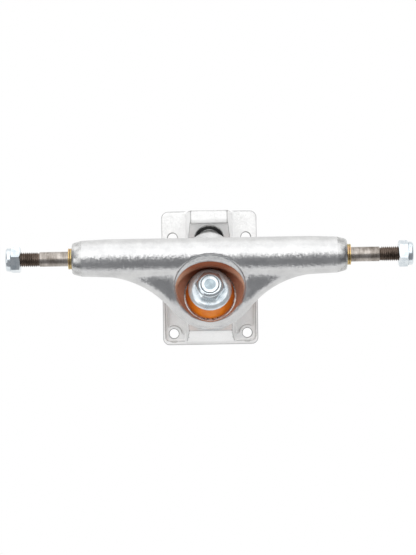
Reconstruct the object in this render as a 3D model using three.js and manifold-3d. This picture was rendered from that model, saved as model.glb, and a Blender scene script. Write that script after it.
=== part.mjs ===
// Skateboard truck with a four-bolt baseplate, a cast hanger on a leaning kingpin and an 8.5 inch axle.
// Millimetres, +Z up. The deck face of the baseplate lies on Z = 0, with the centre of its bolt pattern at
// the origin. X runs along the axle and +Y points from the kingpin to the pivot.
import * as THREE from 'three';
import { mergeVertices } from 'three/addons/utils/BufferGeometryUtils.js';
import Module from 'manifold-3d';

// Driving dimensions of the whole truck
const boltSpacingX = 41.275;
const boltSpacingY = 53.975;
const axleLength = 215.9;
const axleDiameter = 7.94;
const axleHeight = 55;
const axleOffset = 15.7;
const hangerWidth = 149;
const kingpinLeanDegrees = 18;
const nubLeanDegrees = 36;

// Clearances and the overrun of every cut
const seatGap = 0.3;
const boreClearance = 0.3;
const runningClearance = 0.2;
const washerGap = 0.15;
const overrun = 6;

// Baseplate flange: outer edge, rim, bolt pads and the pockets between the bolts
const plateFront = 33.4;
const plateBack = 41.8;
const plateHalfWidth = 26.8;
const plateCornerRadius = 3.8;
const rimHeight = 8;
const rimWidth = 1.7;
const frontRimWidth = 2.4;
const padHeight = 6;
const padRadius = 4.8;
const pocketHeight = 3.8;
const pocketRimWidth = 2.6;
const pocketBack = 18;
const pocketBackRadius = 3;
const recessRadius = 2;
const boltHoleDiameter = 5.3;

// Kingpin boss of the baseplate
const bossHalfWidth = 12.2;
const bossFootHalfWidth = 14.2;
const bossSeatHeight = 13;
const bossSeatSetback = 13.2;
const bossSeatRadius = 12.7;
const bossRearEnd = 6;
const bossEdgeRound = 1.6;

// Pivot housing of the baseplate
const housingTopHeight = 24;
const housingTopDepth = 5.6;
const housingChamfer = 1.8;
const housingHalfWidth = 13.6;
const housingTopHalfWidth = 10.4;
const housingCornerRadius = 3;
const mouthOffset = 27;
const mouthHeight = 17.5;

// Pivot cup and the nub of the hanger that turns in it
const nubDepth = 8;
const nubTipRadius = 4.8;
const nubMouthRadius = 5.8;
const nubShoulderRadius = 11.6;
const nubShoulderRise = 12;
const neckRadius = 9.6;
const neckLength = 27;
const cupWall = 1.6;
const cupRimRadius = 8;
const cupRimThickness = 1.1;

// Kingpin, with its head under the boss
const kingpinDiameter = 9.525;
const kingpinHeadFlats = 14.3;
const kingpinHeadHeight = 5.4;
const kingpinHeadDepth = 5;
const kingpinHeadRecess = 17.6;
const kingpinChamfer = 1.5;

// Bushing stack on the kingpin, from the boss up
const bottomWasherDiameter = 25.4;
const washerThickness = 1.6;
const bottomWasherLip = 1.3;
const bottomBushingHeight = 15.6;
const bottomBushingDiameter = 23.6;
const ringThickness = 8;
const ringRecessDepth = 2;
const ringHoleDiameter = 15;
const seatDiameter = 27.4;
const topBushingHeight = 11.8;
const topBushingTopDiameter = 21;
const topBushingSkirt = 2.4;
const bushingBandInset = 0.7;
const bushingEdge = 0.8;
const topWasherDiameter = 23.8;
const topWasherLip = 1.3;
const topWasherFlatDiameter = 18.6;

// Lock nuts, with the nylon ring that is crimped into the collar
const kingpinNutFlats = 14.29;
const kingpinNutHexHeight = 5.2;
const kingpinNutCollarHeight = 1.9;
const kingpinNutTurnDegrees = 23;
const axleNutFlats = 12.7;
const axleNutHexHeight = 5.3;
const axleNutCollarHeight = 2.6;
const axleNutOverhang = 2.45;
const leftNutTurnDegrees = 42;
const rightNutTurnDegrees = 48;
const insertWidth = 1.1;
const insertHeight = 1.5;
const crimpThickness = 0.6;
const collarWall = 0.8;

// Speed washers on the axle, two at each end
const speedWasherDiameter = 11.4;
const speedWasherThickness = 0.9;
const axleEndChamfer = 0.9;

// Hanger: barrel round the axle
const barrelRadius = 10.4;
const barrelShoulderRadius = 9.8;
const barrelEndRadius = 7.7;
const barrelEndTaper = 5.4;
const barrelShoulderTaper = 14;

// Hanger: outline of the ring and wings from above, two arcs that meet in a tangent
const ringFront = 24.4;
const ringArcRadius = 26;
const wingArcRadius = 50;

// Hanger: heights and edge of the wings
const wingEdgeHeight = 35;
const wingEdgeThickness = 3;
const wingStep = 1.3;
const wingFlangeWidth = 2;
const wingUnderHeight = 25;
const wingUnderOffset = 10;
const wingFullReach = 14;
const wingSlimReach = 34;
const wingShelfReach = 26;
const wingInset = 0.3;
const wingRootLeanDegrees = 46;
const wingFullLeanDegrees = 64;
const wingSlimLeanDegrees = 72;

// Hanger: bowl round the bushing seat, egg-shaped at its rim
const bowlHalfWidth = 19;
const bowlMiddle = 0.5;
const bowlRear = 14;
const bowlFront = 20.1;
const bowlRimRearHeight = 63.6;
const bowlRimFrontHeight = 42.7;
const lipSide = 0.9;
const lipRear = 2.7;
const lipFront = 1.4;
const cupFootHalfWidth = 22.6;
const cupFootFront = 22.3;
const cupFootRear = 12;
const cupFootHeight = 36.4;
const ringBossRadius = 16.4;
const ringBossRise = 2;

// Shares that give curves their form
const eggFrontShare = 0.9;
const wallFootShare = 0.38;
const wallSideFootShare = 0.85;
const wallFootPower = 6;
const wallFlarePower = 8;
const wingSlimFlangeShare = 0.3;
const wingRisePower = 1.5;
const wingShelfPower = 0.6;
const wingRootPower = 3;
const wingRootLengthShare = 0.3;
const wingFullLengthShare = 0.32;
const wingSlimLengthShare = 0.5;

// Numbers of facets and steps
const roundSegments = 40;
const smallSegments = 24;
const bowlSegments = 48;
const bowlSteps = 5;
const wingStations = 14;
const wingCurveSteps = 7;
const endSteps = 5;
const tipSteps = 4;
const hexSides = 6;

const kingpinLean = THREE.MathUtils.degToRad(kingpinLeanDegrees);
const nubLean = THREE.MathUtils.degToRad(nubLeanDegrees);

// Frames of the leaning parts: each has its Z axis along the kingpin, the nub or the axle
const kingpinFrame = new THREE.Matrix4()
  .makeRotationX(-kingpinLean)
  .setPosition(0, -bossSeatSetback, bossSeatHeight);
const nubFrame = new THREE.Matrix4()
  .makeRotationX(nubLean)
  .setPosition(0, mouthOffset, mouthHeight);
const axleFrame = new THREE.Matrix4()
  .makeRotationY(Math.PI / 2)
  .setPosition(0, axleOffset, axleHeight);
const leftAxleFrame = new THREE.Matrix4()
  .makeRotationY(-Math.PI / 2)
  .setPosition(0, axleOffset, axleHeight);

// Levels of the stack, measured along the kingpin from the boss seat
const bottomWasherLevel = seatGap;
const bottomBushingLevel = bottomWasherLevel + washerThickness + seatGap;
const ringRecessLevel = bottomBushingLevel + bottomBushingHeight + seatGap;
const ringLevel = ringRecessLevel - ringRecessDepth;
const seatLevel = ringLevel + ringThickness;
const topBushingLevel = seatLevel + seatGap;
const topWasherLevel = topBushingLevel + topBushingHeight + seatGap;
const kingpinNutLevel = topWasherLevel + washerThickness + seatGap;
const kingpinEndLevel = kingpinNutLevel + kingpinNutHexHeight + kingpinNutCollarHeight;

const wasm = await Module();
wasm.setup();

// Signed volume of an indexed closed mesh, positive when its faces point outwards
function signedVolume(geometry) {
  const at = geometry.attributes.position;
  const index = geometry.index;
  const a = new THREE.Vector3();
  const b = new THREE.Vector3();
  const c = new THREE.Vector3();
  let sum = 0;
  for (let i = 0; i < index.count; i += 3) {
    a.fromBufferAttribute(at, index.getX(i));
    b.fromBufferAttribute(at, index.getX(i + 1));
    c.fromBufferAttribute(at, index.getX(i + 2));
    sum += a.dot(b.cross(c)) / 6;
  }
  return sum;
}

// Merged copy of a geometry: shared corners, no flat triangles, faces outwards
function welded(geometry) {
  const bare = geometry.clone();
  bare.deleteAttribute('normal');
  bare.deleteAttribute('uv');
  const merged = mergeVertices(bare);
  const index = merged.index.array;
  const kept = [];
  for (let i = 0; i < index.length; i += 3) {
    const corners = [index[i], index[i + 1], index[i + 2]];
    if (new Set(corners).size === 3) kept.push(...corners);
  }
  merged.setIndex(kept);
  if (signedVolume(merged) < 0) merged.setIndex(kept.reverse());
  return merged;
}

// Solid of a closed geometry, ready to be joined or cut
function solidOf(geometry) {
  const merged = welded(geometry);
  return new wasm.Manifold(new wasm.Mesh({
    numProp: 3,
    vertProperties: new Float32Array(merged.attributes.position.array),
    triVerts: new Uint32Array(merged.index.array),
  }));
}

// Geometry of a solid, for a mesh
function geometryOf(solid) {
  const mesh = solid.getMesh();
  const geometry = new THREE.BufferGeometry();
  geometry.setAttribute('position', new THREE.Float32BufferAttribute(mesh.vertProperties, 3));
  geometry.setIndex(Array.from(mesh.triVerts));
  geometry.computeVertexNormals();
  return geometry;
}

// Solid of revolution about Z from pairs of radius and height
function turned(profile, segments = roundSegments) {
  const points = profile.map(([radius, height]) => new THREE.Vector2(radius, height));
  return new THREE.LatheGeometry(points, segments).rotateX(Math.PI / 2);
}

// Cylinder about Z between two heights
function rod(radius, low, high, segments = roundSegments) {
  return turned([[0, low], [radius, low], [radius, high], [0, high]], segments);
}

// Ring about Z between two radii and two heights
function ring(inner, outer, low, high, segments = roundSegments) {
  const profile = [[inner, low], [outer, low], [outer, high], [inner, high], [inner, low]];
  return turned(profile, segments);
}

// Outline in Y and Z, extruded along X to both sides of the middle
function extrudedAcross(outline, halfWidth) {
  const shape = new THREE.Shape(outline.map(([y, z]) => new THREE.Vector2(y, z)));
  const geometry = new THREE.ExtrudeGeometry(shape, { depth: 2 * halfWidth, bevelEnabled: false });
  const turn = new THREE.Matrix4().makeBasis(
    new THREE.Vector3(0, 1, 0),
    new THREE.Vector3(0, 0, 1),
    new THREE.Vector3(1, 0, 0),
  );
  return geometry.applyMatrix4(turn).translate(-halfWidth, 0, 0);
}

// Closed skin through rings of equal count, with both ends capped as seen by the given view
function loft(rings, view) {
  const count = rings[0].length;
  const positions = rings.flat().flatMap((point) => point.toArray());
  const index = [];
  for (let i = 0; i + 1 < rings.length; i += 1) {
    for (let j = 0; j < count; j += 1) {
      const a = i * count + j;
      const b = i * count + ((j + 1) % count);
      index.push(a, b, a + count, b, b + count, a + count);
    }
  }
  const cap = (base, flip) => {
    const flat = rings[base].map(view);
    const clockwise = THREE.ShapeUtils.isClockWise(flat);
    for (const [a, b, c] of THREE.ShapeUtils.triangulateShape(flat, [])) {
      const start = base * count;
      if (flip !== clockwise) index.push(start + a, start + c, start + b);
      else index.push(start + a, start + b, start + c);
    }
  };
  cap(0, true);
  cap(rings.length - 1, false);
  const geometry = new THREE.BufferGeometry();
  geometry.setAttribute('position', new THREE.Float32BufferAttribute(positions, 3));
  geometry.setIndex(index);
  return geometry;
}

// Rectangle with rounded corners, as a shape between two X and two Y values
function roundedRectangle(left, right, low, high, radius) {
  const shape = new THREE.Shape();
  shape.moveTo(left + radius, low);
  shape.lineTo(right - radius, low);
  shape.absarc(right - radius, low + radius, radius, -Math.PI / 2, 0);
  shape.lineTo(right, high - radius);
  shape.absarc(right - radius, high - radius, radius, 0, Math.PI / 2);
  shape.lineTo(left + radius, high);
  shape.absarc(left + radius, high - radius, radius, Math.PI / 2, Math.PI);
  shape.lineTo(left, low + radius);
  shape.absarc(left + radius, low + radius, radius, Math.PI, 1.5 * Math.PI);
  return shape;
}

// Upright block of a shape in X and Y between two heights
function upright(shape, low, high) {
  const settings = { depth: high - low, bevelEnabled: false, curveSegments: endSteps };
  return new THREE.ExtrudeGeometry(shape, settings).translate(0, 0, low);
}

// Smooth step from 0 to 1 between two values
function eased(value, from, to) {
  return THREE.MathUtils.smoothstep(value, from, to);
}

// Baseplate: flange with rim, bolt pads and pockets
function flange() {
  const outline = roundedRectangle(
    -plateHalfWidth, plateHalfWidth, -plateFront, plateBack, plateCornerRadius,
  );
  let body = solidOf(upright(outline, 0, rimHeight));
  for (const side of [-1, 1]) {
    const inner = side * bossHalfWidth;
    const outer = side * (plateHalfWidth - rimWidth);
    const recess = roundedRectangle(
      Math.min(inner, outer), Math.max(inner, outer),
      -plateFront + frontRimWidth, pocketBack, recessRadius,
    );
    body = body.subtract(solidOf(upright(recess, padHeight, rimHeight + overrun)));
    const pocketOuter = side * (plateHalfWidth - pocketRimWidth);
    const pocket = roundedRectangle(
      Math.min(inner, pocketOuter), Math.max(inner, pocketOuter),
      -boltSpacingY / 2, pocketBack, pocketBackRadius,
    );
    const pad = rod(padRadius, 0, rimHeight, smallSegments)
      .translate(side * boltSpacingX / 2, -boltSpacingY / 2, 0);
    const hollow = solidOf(upright(pocket, pocketHeight, rimHeight + overrun)).subtract(solidOf(pad));
    body = body.subtract(hollow);
  }
  return body;
}

// Baseplate: block that carries the kingpin, sloping up from the front edge to the washer seat
function kingpinBoss() {
  const seat = (offset) => {
    const point = new THREE.Vector3(0, offset, 0).applyMatrix4(kingpinFrame);
    return [point.y, point.z];
  };
  const [frontY, frontZ] = seat(-bossSeatRadius);
  const [backY, backZ] = seat(bossSeatRadius);
  const outline = [
    [-plateFront, 0],
    [-plateFront, rimHeight - bossEdgeRound],
    [-plateFront + bossEdgeRound, rimHeight],
    [frontY - bossEdgeRound, frontZ - bossEdgeRound],
    [frontY, frontZ],
    [backY, backZ],
    [bossRearEnd, rimHeight],
    [bossRearEnd, 0],
  ];
  const block = solidOf(extrudedAcross(outline, bossFootHalfWidth));
  const flank = new THREE.Shape([
    new THREE.Vector2(-bossFootHalfWidth, 0),
    new THREE.Vector2(bossFootHalfWidth, 0),
    new THREE.Vector2(bossFootHalfWidth, pocketHeight),
    new THREE.Vector2(bossHalfWidth, frontZ),
    new THREE.Vector2(-bossHalfWidth, frontZ),
    new THREE.Vector2(-bossFootHalfWidth, pocketHeight),
  ]);
  return block.intersect(solidOf(extrudedAlong(flank)));
}

// Shape in X and Z, extruded along the whole plate
function extrudedAlong(shape) {
  const depth = plateFront + plateBack;
  const geometry = new THREE.ExtrudeGeometry(shape, { depth, bevelEnabled: false });
  return geometry.rotateX(Math.PI / 2).translate(0, plateBack, 0);
}

// Baseplate: housing of the pivot cup, with drafted flanks and a face square to the nub
function pivotHousing() {
  const slope = Math.tan(nubLean);
  const faceTop = plateBack - housingTopDepth - housingChamfer;
  const faceTopHeight = mouthHeight + (faceTop - mouthOffset) * slope;
  const faceFoot = mouthOffset - mouthHeight / slope;
  const outline = [
    [faceFoot, 0],
    [plateBack, 0],
    [plateBack, housingTopHeight + housingChamfer],
    [plateBack - housingTopDepth, housingTopHeight + housingChamfer],
    [faceTop, faceTopHeight],
  ];
  const block = solidOf(extrudedAcross(outline, housingHalfWidth));
  const top = housingTopHeight + housingChamfer;
  const flank = new THREE.Shape([
    new THREE.Vector2(-housingHalfWidth, 0),
    new THREE.Vector2(housingHalfWidth, 0),
    new THREE.Vector2(housingHalfWidth, pocketHeight),
    new THREE.Vector2(housingTopHalfWidth, top),
    new THREE.Vector2(-housingTopHalfWidth, top),
    new THREE.Vector2(-housingHalfWidth, pocketHeight),
  ]);
  const corners = roundedRectangle(
    -housingHalfWidth, housingHalfWidth, faceFoot - housingHalfWidth, plateBack, housingCornerRadius,
  );
  return block
    .intersect(solidOf(extrudedAlong(flank)))
    .intersect(solidOf(upright(corners, 0, top)));
}

// Outer profile of the pivot cup below its rim, as radius and height in the nub frame
function cupProfile(extra) {
  const tipRadius = nubTipRadius + cupWall + extra;
  const mouthRadius = nubMouthRadius + cupWall + extra;
  const points = [[0, -nubDepth - tipRadius]];
  for (let i = 1; i <= tipSteps; i += 1) {
    const angle = (i / tipSteps) * (Math.PI / 2);
    points.push([tipRadius * Math.sin(angle), -nubDepth - tipRadius * Math.cos(angle)]);
  }
  points.push([mouthRadius, 0]);
  return points;
}

function baseplateGeometry() {
  let body = flange().add(kingpinBoss()).add(pivotHousing());
  for (const x of [-boltSpacingX / 2, boltSpacingX / 2]) {
    for (const y of [-boltSpacingY / 2, boltSpacingY / 2]) {
      const hole = rod(boltHoleDiameter / 2, -overrun, rimHeight + overrun, smallSegments);
      body = body.subtract(solidOf(hole.translate(x, y, 0)));
    }
  }
  const shaft = rod(kingpinDiameter / 2 + boreClearance, -kingpinHeadDepth - overrun, overrun);
  const headTop = -kingpinHeadDepth + seatGap;
  const head = rod(kingpinHeadRecess / 2, headTop - 4 * overrun, headTop);
  body = body.subtract(solidOf(shaft.applyMatrix4(kingpinFrame)));
  body = body.subtract(solidOf(head.applyMatrix4(kingpinFrame)));
  const mouth = cupProfile(seatGap);
  const [mouthRadius] = mouth.at(-1);
  mouth.push([mouthRadius, overrun], [0, overrun]);
  return geometryOf(body.subtract(solidOf(turned(mouth).applyMatrix4(nubFrame))));
}

// Pivot cup: a thin rubber thimble with a rim that rests on the housing
function pivotCupGeometry() {
  const outer = cupProfile(0);
  outer.push([nubMouthRadius + cupWall, seatGap], [cupRimRadius, seatGap]);
  outer.push([cupRimRadius, seatGap + cupRimThickness], [0, seatGap + cupRimThickness]);
  const inner = nubProfile(seatGap);
  const [mouthRadius] = inner.at(-1);
  inner.push([mouthRadius, overrun], [0, overrun]);
  return geometryOf(solidOf(turned(outer)).subtract(solidOf(turned(inner))));
}

// Rounded nub from its tip to the mouth of the cup, grown by a clearance
function nubProfile(extra) {
  const tipRadius = nubTipRadius + extra;
  const points = [[0, -nubDepth - tipRadius]];
  for (let i = 1; i <= tipSteps; i += 1) {
    const angle = (i / tipSteps) * (Math.PI / 2);
    points.push([tipRadius * Math.sin(angle), -nubDepth - tipRadius * Math.cos(angle)]);
  }
  points.push([nubMouthRadius + extra, seatGap + cupRimThickness]);
  return points;
}

// Hexagonal bar about Z, by its size across flats
function hexBar(flats, low, high) {
  const radius = flats / 2 / Math.cos(Math.PI / hexSides);
  return new THREE.CylinderGeometry(radius, radius, high - low, hexSides)
    .rotateX(Math.PI / 2)
    .translate(0, 0, (low + high) / 2);
}

function kingpinGeometry() {
  const radius = kingpinDiameter / 2;
  const shaft = turned([
    [0, -kingpinHeadDepth - seatGap],
    [radius, -kingpinHeadDepth - seatGap],
    [radius, kingpinEndLevel - kingpinChamfer],
    [radius - kingpinChamfer, kingpinEndLevel],
    [0, kingpinEndLevel],
  ]);
  const top = -kingpinHeadDepth;
  const head = hexBar(kingpinHeadFlats, top - kingpinHeadHeight, top);
  return geometryOf(solidOf(shaft).add(solidOf(head)));
}

// Cupped washer: flat middle and a lip that turns down or up by the given height
function cuppedWasher(diameter, flatDiameter, lip) {
  const inner = kingpinDiameter / 2 + boreClearance;
  const outer = diameter / 2;
  const flat = flatDiameter / 2;
  return turned([
    [inner, 0],
    [flat, 0],
    [outer - washerThickness / 2, lip],
    [outer, lip],
    [outer, lip + washerThickness / 2],
    [flat, washerThickness],
    [inner, washerThickness],
    [inner, 0],
  ]);
}

// Bottom bushing: a barrel with rounded edges, standing in the ring's recess
function bottomBushingGeometry() {
  const inner = kingpinDiameter / 2 + boreClearance;
  const outer = bottomBushingDiameter / 2;
  return turned([
    [inner, 0],
    [outer - bushingBandInset - bushingEdge, 0],
    [outer - bushingBandInset, bushingEdge],
    [outer, bottomBushingHeight / 2],
    [outer - bushingBandInset, bottomBushingHeight - bushingEdge],
    [outer - bushingBandInset - bushingEdge, bottomBushingHeight],
    [inner, bottomBushingHeight],
    [inner, 0],
  ]);
}

// Top bushing: a cone on a short skirt that fills the hanger's seat
function topBushingGeometry() {
  const inner = kingpinDiameter / 2 + boreClearance;
  const outer = seatDiameter / 2 - seatGap;
  const top = topBushingTopDiameter / 2;
  return turned([
    [inner, 0],
    [outer - bushingEdge, 0],
    [outer, bushingEdge],
    [outer, topBushingSkirt],
    [top, topBushingHeight - bushingEdge],
    [top - bushingEdge, topBushingHeight],
    [inner, topBushingHeight],
    [inner, 0],
  ]);
}

// Lock nut about Z: chamfered hexagon below, collar with a groove for the nylon ring above
function lockNutGeometry(flats, boreDiameter, hexHeight, collarHeight, turnDegrees) {
  const bore = boreDiameter / 2 + runningClearance;
  const groove = bore + insertWidth + seatGap;
  const collar = groove + collarWall;
  const corner = flats / 2 / Math.cos(Math.PI / hexSides);
  const drop = (corner - flats / 2) * Math.tan(Math.PI / hexSides);
  const top = hexHeight + collarHeight;
  const grooveLow = top - crimpThickness - insertHeight - 2 * seatGap;
  const shell = turned([
    [0, 0],
    [flats / 2, 0],
    [corner, drop],
    [corner, hexHeight - drop],
    [flats / 2, hexHeight],
    [collar, hexHeight],
    [collar, top - crimpThickness],
    [collar - crimpThickness, top],
    [0, top],
  ]);
  const prism = hexBar(flats, 0, top).rotateZ(THREE.MathUtils.degToRad(turnDegrees));
  const hole = turned([
    [0, -overrun],
    [bore, -overrun],
    [bore, grooveLow],
    [groove, grooveLow],
    [groove, top - crimpThickness],
    [bore + insertWidth / 2, top - crimpThickness],
    [bore + insertWidth / 2, top + overrun],
    [0, top + overrun],
  ], smallSegments);
  return geometryOf(solidOf(shell).intersect(solidOf(prism)).subtract(solidOf(hole)));
}

// Nylon ring inside the collar of a lock nut
function insertGeometry(boreDiameter, hexHeight, collarHeight) {
  const bore = boreDiameter / 2 + runningClearance;
  const low = hexHeight + collarHeight - crimpThickness - insertHeight - seatGap;
  return ring(bore, bore + insertWidth, low, low + insertHeight, smallSegments);
}

// Barrel of the hanger about Z, with rounded ends
function barrelProfile() {
  const half = hangerWidth / 2;
  const points = [];
  for (let i = 0; i <= endSteps; i += 1) {
    const share = i / endSteps;
    const radius = barrelEndRadius
      + (barrelShoulderRadius - barrelEndRadius) * Math.sin(share * Math.PI / 2);
    points.push([radius, -half + barrelEndTaper * share]);
  }
  points.push([barrelRadius, -half + barrelEndTaper + barrelShoulderTaper]);
  const mirrored = points.map(([radius, height]) => [radius, -height]).reverse();
  return [[0, -half], ...points, ...mirrored, [0, half]];
}

// Outline of the hanger from above: front edge at a distance from the middle
const ringArcMiddle = ringArcRadius - ringFront;
const wingArcMiddle = axleOffset - barrelRadius - wingArcRadius;
const wingReach = Math.sqrt(
  (ringArcRadius + wingArcRadius) ** 2 - (ringArcMiddle - wingArcMiddle) ** 2,
);
const arcJoin = wingReach * ringArcRadius / (ringArcRadius + wingArcRadius);

function frontEdge(reach) {
  if (reach <= arcJoin) return ringArcMiddle - Math.sqrt(ringArcRadius ** 2 - reach ** 2);
  return wingArcMiddle + Math.sqrt(wingArcRadius ** 2 - (wingReach - reach) ** 2);
}

// Section of the ring and wings at one X: from the barrel forward to the edge and back below
function wingSection(x) {
  const reach = Math.abs(x);
  const share = Math.min(reach / wingReach, 1);
  const point = (y, z) => new THREE.Vector3(x, y, z);
  const slim = eased(reach, wingFullReach, wingSlimReach);
  const edgeY = frontEdge(Math.min(reach, wingReach));
  const shelf = eased(reach, wingFullReach, wingShelfReach);
  const rise = THREE.MathUtils.lerp(share ** wingRisePower, share ** wingShelfPower, shelf);
  const edgeLow = THREE.MathUtils.lerp(wingEdgeHeight, axleHeight, rise);
  const thin = 1 - share ** 2;
  const edgeHigh = edgeLow + wingEdgeThickness * thin;
  const flange = wingFlangeWidth * THREE.MathUtils.lerp(1, wingSlimFlangeShare, slim);
  const flangeInner = edgeY + flange * thin + wingInset;
  const rootLean = THREE.MathUtils.degToRad(
    THREE.MathUtils.lerp(wingRootLeanDegrees, 90, share ** wingRootPower),
  );
  const endLean = THREE.MathUtils.degToRad(
    THREE.MathUtils.lerp(wingFullLeanDegrees, wingSlimLeanDegrees, slim),
  );
  const root = new THREE.Vector2(
    axleOffset - (barrelRadius - wingInset) * Math.sin(rootLean),
    axleHeight + (barrelRadius - wingInset) * Math.cos(rootLean),
  );
  const end = new THREE.Vector2(flangeInner, edgeHigh + wingStep * thin);
  const span = root.distanceTo(end);
  const rootLength = span * wingRootLengthShare;
  const edgeLength = span * THREE.MathUtils.lerp(wingFullLengthShare, wingSlimLengthShare, slim);
  const curve = new THREE.CubicBezierCurve(
    root,
    new THREE.Vector2(root.x - rootLength * Math.cos(rootLean), root.y - rootLength * Math.sin(rootLean)),
    new THREE.Vector2(end.x + edgeLength * Math.cos(endLean), end.y + edgeLength * Math.sin(endLean)),
    end,
  );
  const top = curve.getPoints(wingCurveSteps).map((p) => point(p.x, p.y));
  const barrelFoot = [axleOffset, axleHeight - barrelRadius + wingInset];
  const fullUnder = [wingUnderOffset, wingUnderHeight];
  const slimUnder = [(edgeY + barrelFoot[0]) / 2, (edgeLow + barrelFoot[1]) / 2];
  const under = fullUnder.map((value, i) => THREE.MathUtils.lerp(value, slimUnder[i], slim));
  return [
    ...top,
    point(flangeInner, edgeHigh),
    point(edgeY + wingInset, edgeHigh),
    point(edgeY + wingInset, edgeLow),
    point(...under),
    point(...barrelFoot),
    point(axleOffset, axleHeight),
  ];
}

// Egg-shaped outline from above: half an ellipse behind, a slightly pointed half in front
function eggPoint(angle, halfWidth, rear, front) {
  const c = Math.cos(angle);
  const s = Math.sin(angle);
  const power = s < 0 ? 1 / eggFrontShare : 1;
  const x = halfWidth * Math.sign(c) * Math.abs(c) ** power;
  const y = (s < 0 ? front : rear) * Math.sign(s) * Math.abs(s) ** power;
  return new THREE.Vector2(x, y - bowlMiddle);
}

// Height of the rim plane of the bowl at a Y value
const rimSlope = (bowlRimRearHeight - bowlRimFrontHeight) / (bowlRear + bowlFront);

function rimHeightAt(y) {
  return bowlRimFrontHeight + (y + bowlFront) * rimSlope;
}

// Ring of points round the bowl, between its seat circle and its rim, at a share of the wall's height.
// The wall stands steeper behind, where it has to clear the axle, than at the sides, where the washer swings.
function bowlRing(share, lift) {
  const points = [];
  for (let i = 0; i < bowlSegments; i += 1) {
    const angle = (i / bowlSegments) * 2 * Math.PI;
    const behind = Math.max(Math.sin(angle), 0);
    const footShare = THREE.MathUtils.lerp(wallSideFootShare, wallFootShare, behind);
    const foot = footShare * (1 - (1 - share) ** wallFootPower);
    const flare = foot + (1 - footShare) * share ** wallFlarePower;
    const radius = seatDiameter / 2;
    const seat = new THREE.Vector3(radius * Math.cos(angle), radius * Math.sin(angle), seatLevel);
    seat.applyMatrix4(kingpinFrame);
    const rim = eggPoint(angle, bowlHalfWidth, bowlRear + bowlMiddle, bowlFront - bowlMiddle);
    points.push(new THREE.Vector3(
      THREE.MathUtils.lerp(seat.x, rim.x, flare),
      THREE.MathUtils.lerp(seat.y, rim.y, flare),
      THREE.MathUtils.lerp(seat.z, rimHeightAt(rim.y), share) + lift,
    ));
  }
  return points;
}

// Rise that takes a cut from the rim plane out over the top of the barrel
const barrelTopRise = axleHeight + barrelRadius + overrun - bowlRimFrontHeight;

const fromAbove = (point) => new THREE.Vector2(point.x, point.y);
const fromSide = (point) => new THREE.Vector2(point.y, point.z);

function bowlCut() {
  const rings = [];
  for (let i = 0; i <= bowlSteps; i += 1) rings.push(bowlRing(i / bowlSteps, 0));
  rings.push(bowlRing(1, barrelTopRise));
  return loft(rings, fromAbove);
}

// Outer outline of the lip on the rim plane, lifted by a height
function lipRing(lift) {
  const points = [];
  for (let i = 0; i < bowlSegments; i += 1) {
    const angle = (i / bowlSegments) * 2 * Math.PI;
    const at = eggPoint(
      angle, bowlHalfWidth + lipSide, bowlRear + lipRear + bowlMiddle, bowlFront + lipFront - bowlMiddle,
    );
    points.push(new THREE.Vector3(at.x, at.y, rimHeightAt(at.y) + lift));
  }
  return points;
}

// Outer wall of the bowl, from its foot on the wings to the lip
function bowlWall() {
  const foot = [];
  for (let i = 0; i < bowlSegments; i += 1) {
    const angle = (i / bowlSegments) * 2 * Math.PI;
    const low = eggPoint(angle, cupFootHalfWidth, cupFootRear, cupFootFront - bowlMiddle);
    foot.push(new THREE.Vector3(low.x, low.y, cupFootHeight));
  }
  return loft([foot, lipRing(seatGap)], fromAbove);
}

// Space above the lip, which trims the barrel and the wall to the rim plane
function lipCut() {
  return loft([lipRing(0), lipRing(barrelTopRise)], fromAbove);
}

function hangerGeometry() {
  const sections = [];
  for (let i = -wingStations; i <= wingStations; i += 1) {
    const share = i / wingStations;
    sections.push(wingSection(wingReach * Math.sin(share * Math.PI / 2)));
  }
  const neck = nubProfile(0);
  neck.push([nubShoulderRadius, nubShoulderRise], [neckRadius, neckLength], [0, neckLength]);
  const ringBoss = rod(ringBossRadius, ringLevel, seatLevel + ringBossRise);
  const hole = rod(ringHoleDiameter / 2, ringLevel - overrun, seatLevel + overrun);
  const seat = rod(seatDiameter / 2, seatLevel, topBushingLevel + topBushingSkirt);
  const recess = rod(bottomBushingDiameter / 2 + seatGap, ringLevel - overrun, ringRecessLevel);
  const bore = rod(axleDiameter / 2 + runningClearance, -hangerWidth, hangerWidth, smallSegments);
  return geometryOf(
    solidOf(turned(barrelProfile()).applyMatrix4(axleFrame))
      .add(solidOf(loft(sections, fromSide)))
      .add(solidOf(turned(neck).applyMatrix4(nubFrame)))
      .add(solidOf(bowlWall()))
      .add(solidOf(ringBoss.applyMatrix4(kingpinFrame)))
      .subtract(solidOf(lipCut()))
      .subtract(solidOf(bowlCut()))
      .subtract(solidOf(seat.applyMatrix4(kingpinFrame)))
      .subtract(solidOf(hole.applyMatrix4(kingpinFrame)))
      .subtract(solidOf(recess.applyMatrix4(kingpinFrame)))
      .subtract(solidOf(bore.applyMatrix4(axleFrame))),
  );
}

function axleGeometry() {
  const radius = axleDiameter / 2;
  const half = axleLength / 2;
  return turned([
    [0, -half],
    [radius - axleEndChamfer, -half],
    [radius, -half + axleEndChamfer],
    [radius, half - axleEndChamfer],
    [radius - axleEndChamfer, half],
    [0, half],
  ], smallSegments);
}

// Finishes of the real materials
const castAluminium = { color: 0xc9c8c6, metalness: 0.85, roughness: 0.42 };
const zincSteel = { color: 0xccd4da, metalness: 1, roughness: 0.22 };
const darkSteel = { color: 0x6b625a, metalness: 0.9, roughness: 0.4 };
const yellowZinc = { color: 0xb89a5a, metalness: 0.9, roughness: 0.35 };
const amberUrethane = { color: 0xd4701c, metalness: 0, roughness: 0.35 };
const blackRubber = { color: 0x1b1b1b, metalness: 0, roughness: 0.7 };
const blueNylon = { color: 0xdfe6ea, metalness: 0, roughness: 0.5 };

function addPiece(group, name, geometry, finish) {
  const mesh = new THREE.Mesh(welded(geometry), new THREE.MeshStandardMaterial(finish));
  mesh.name = name;
  group.add(mesh);
  return mesh;
}

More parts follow.
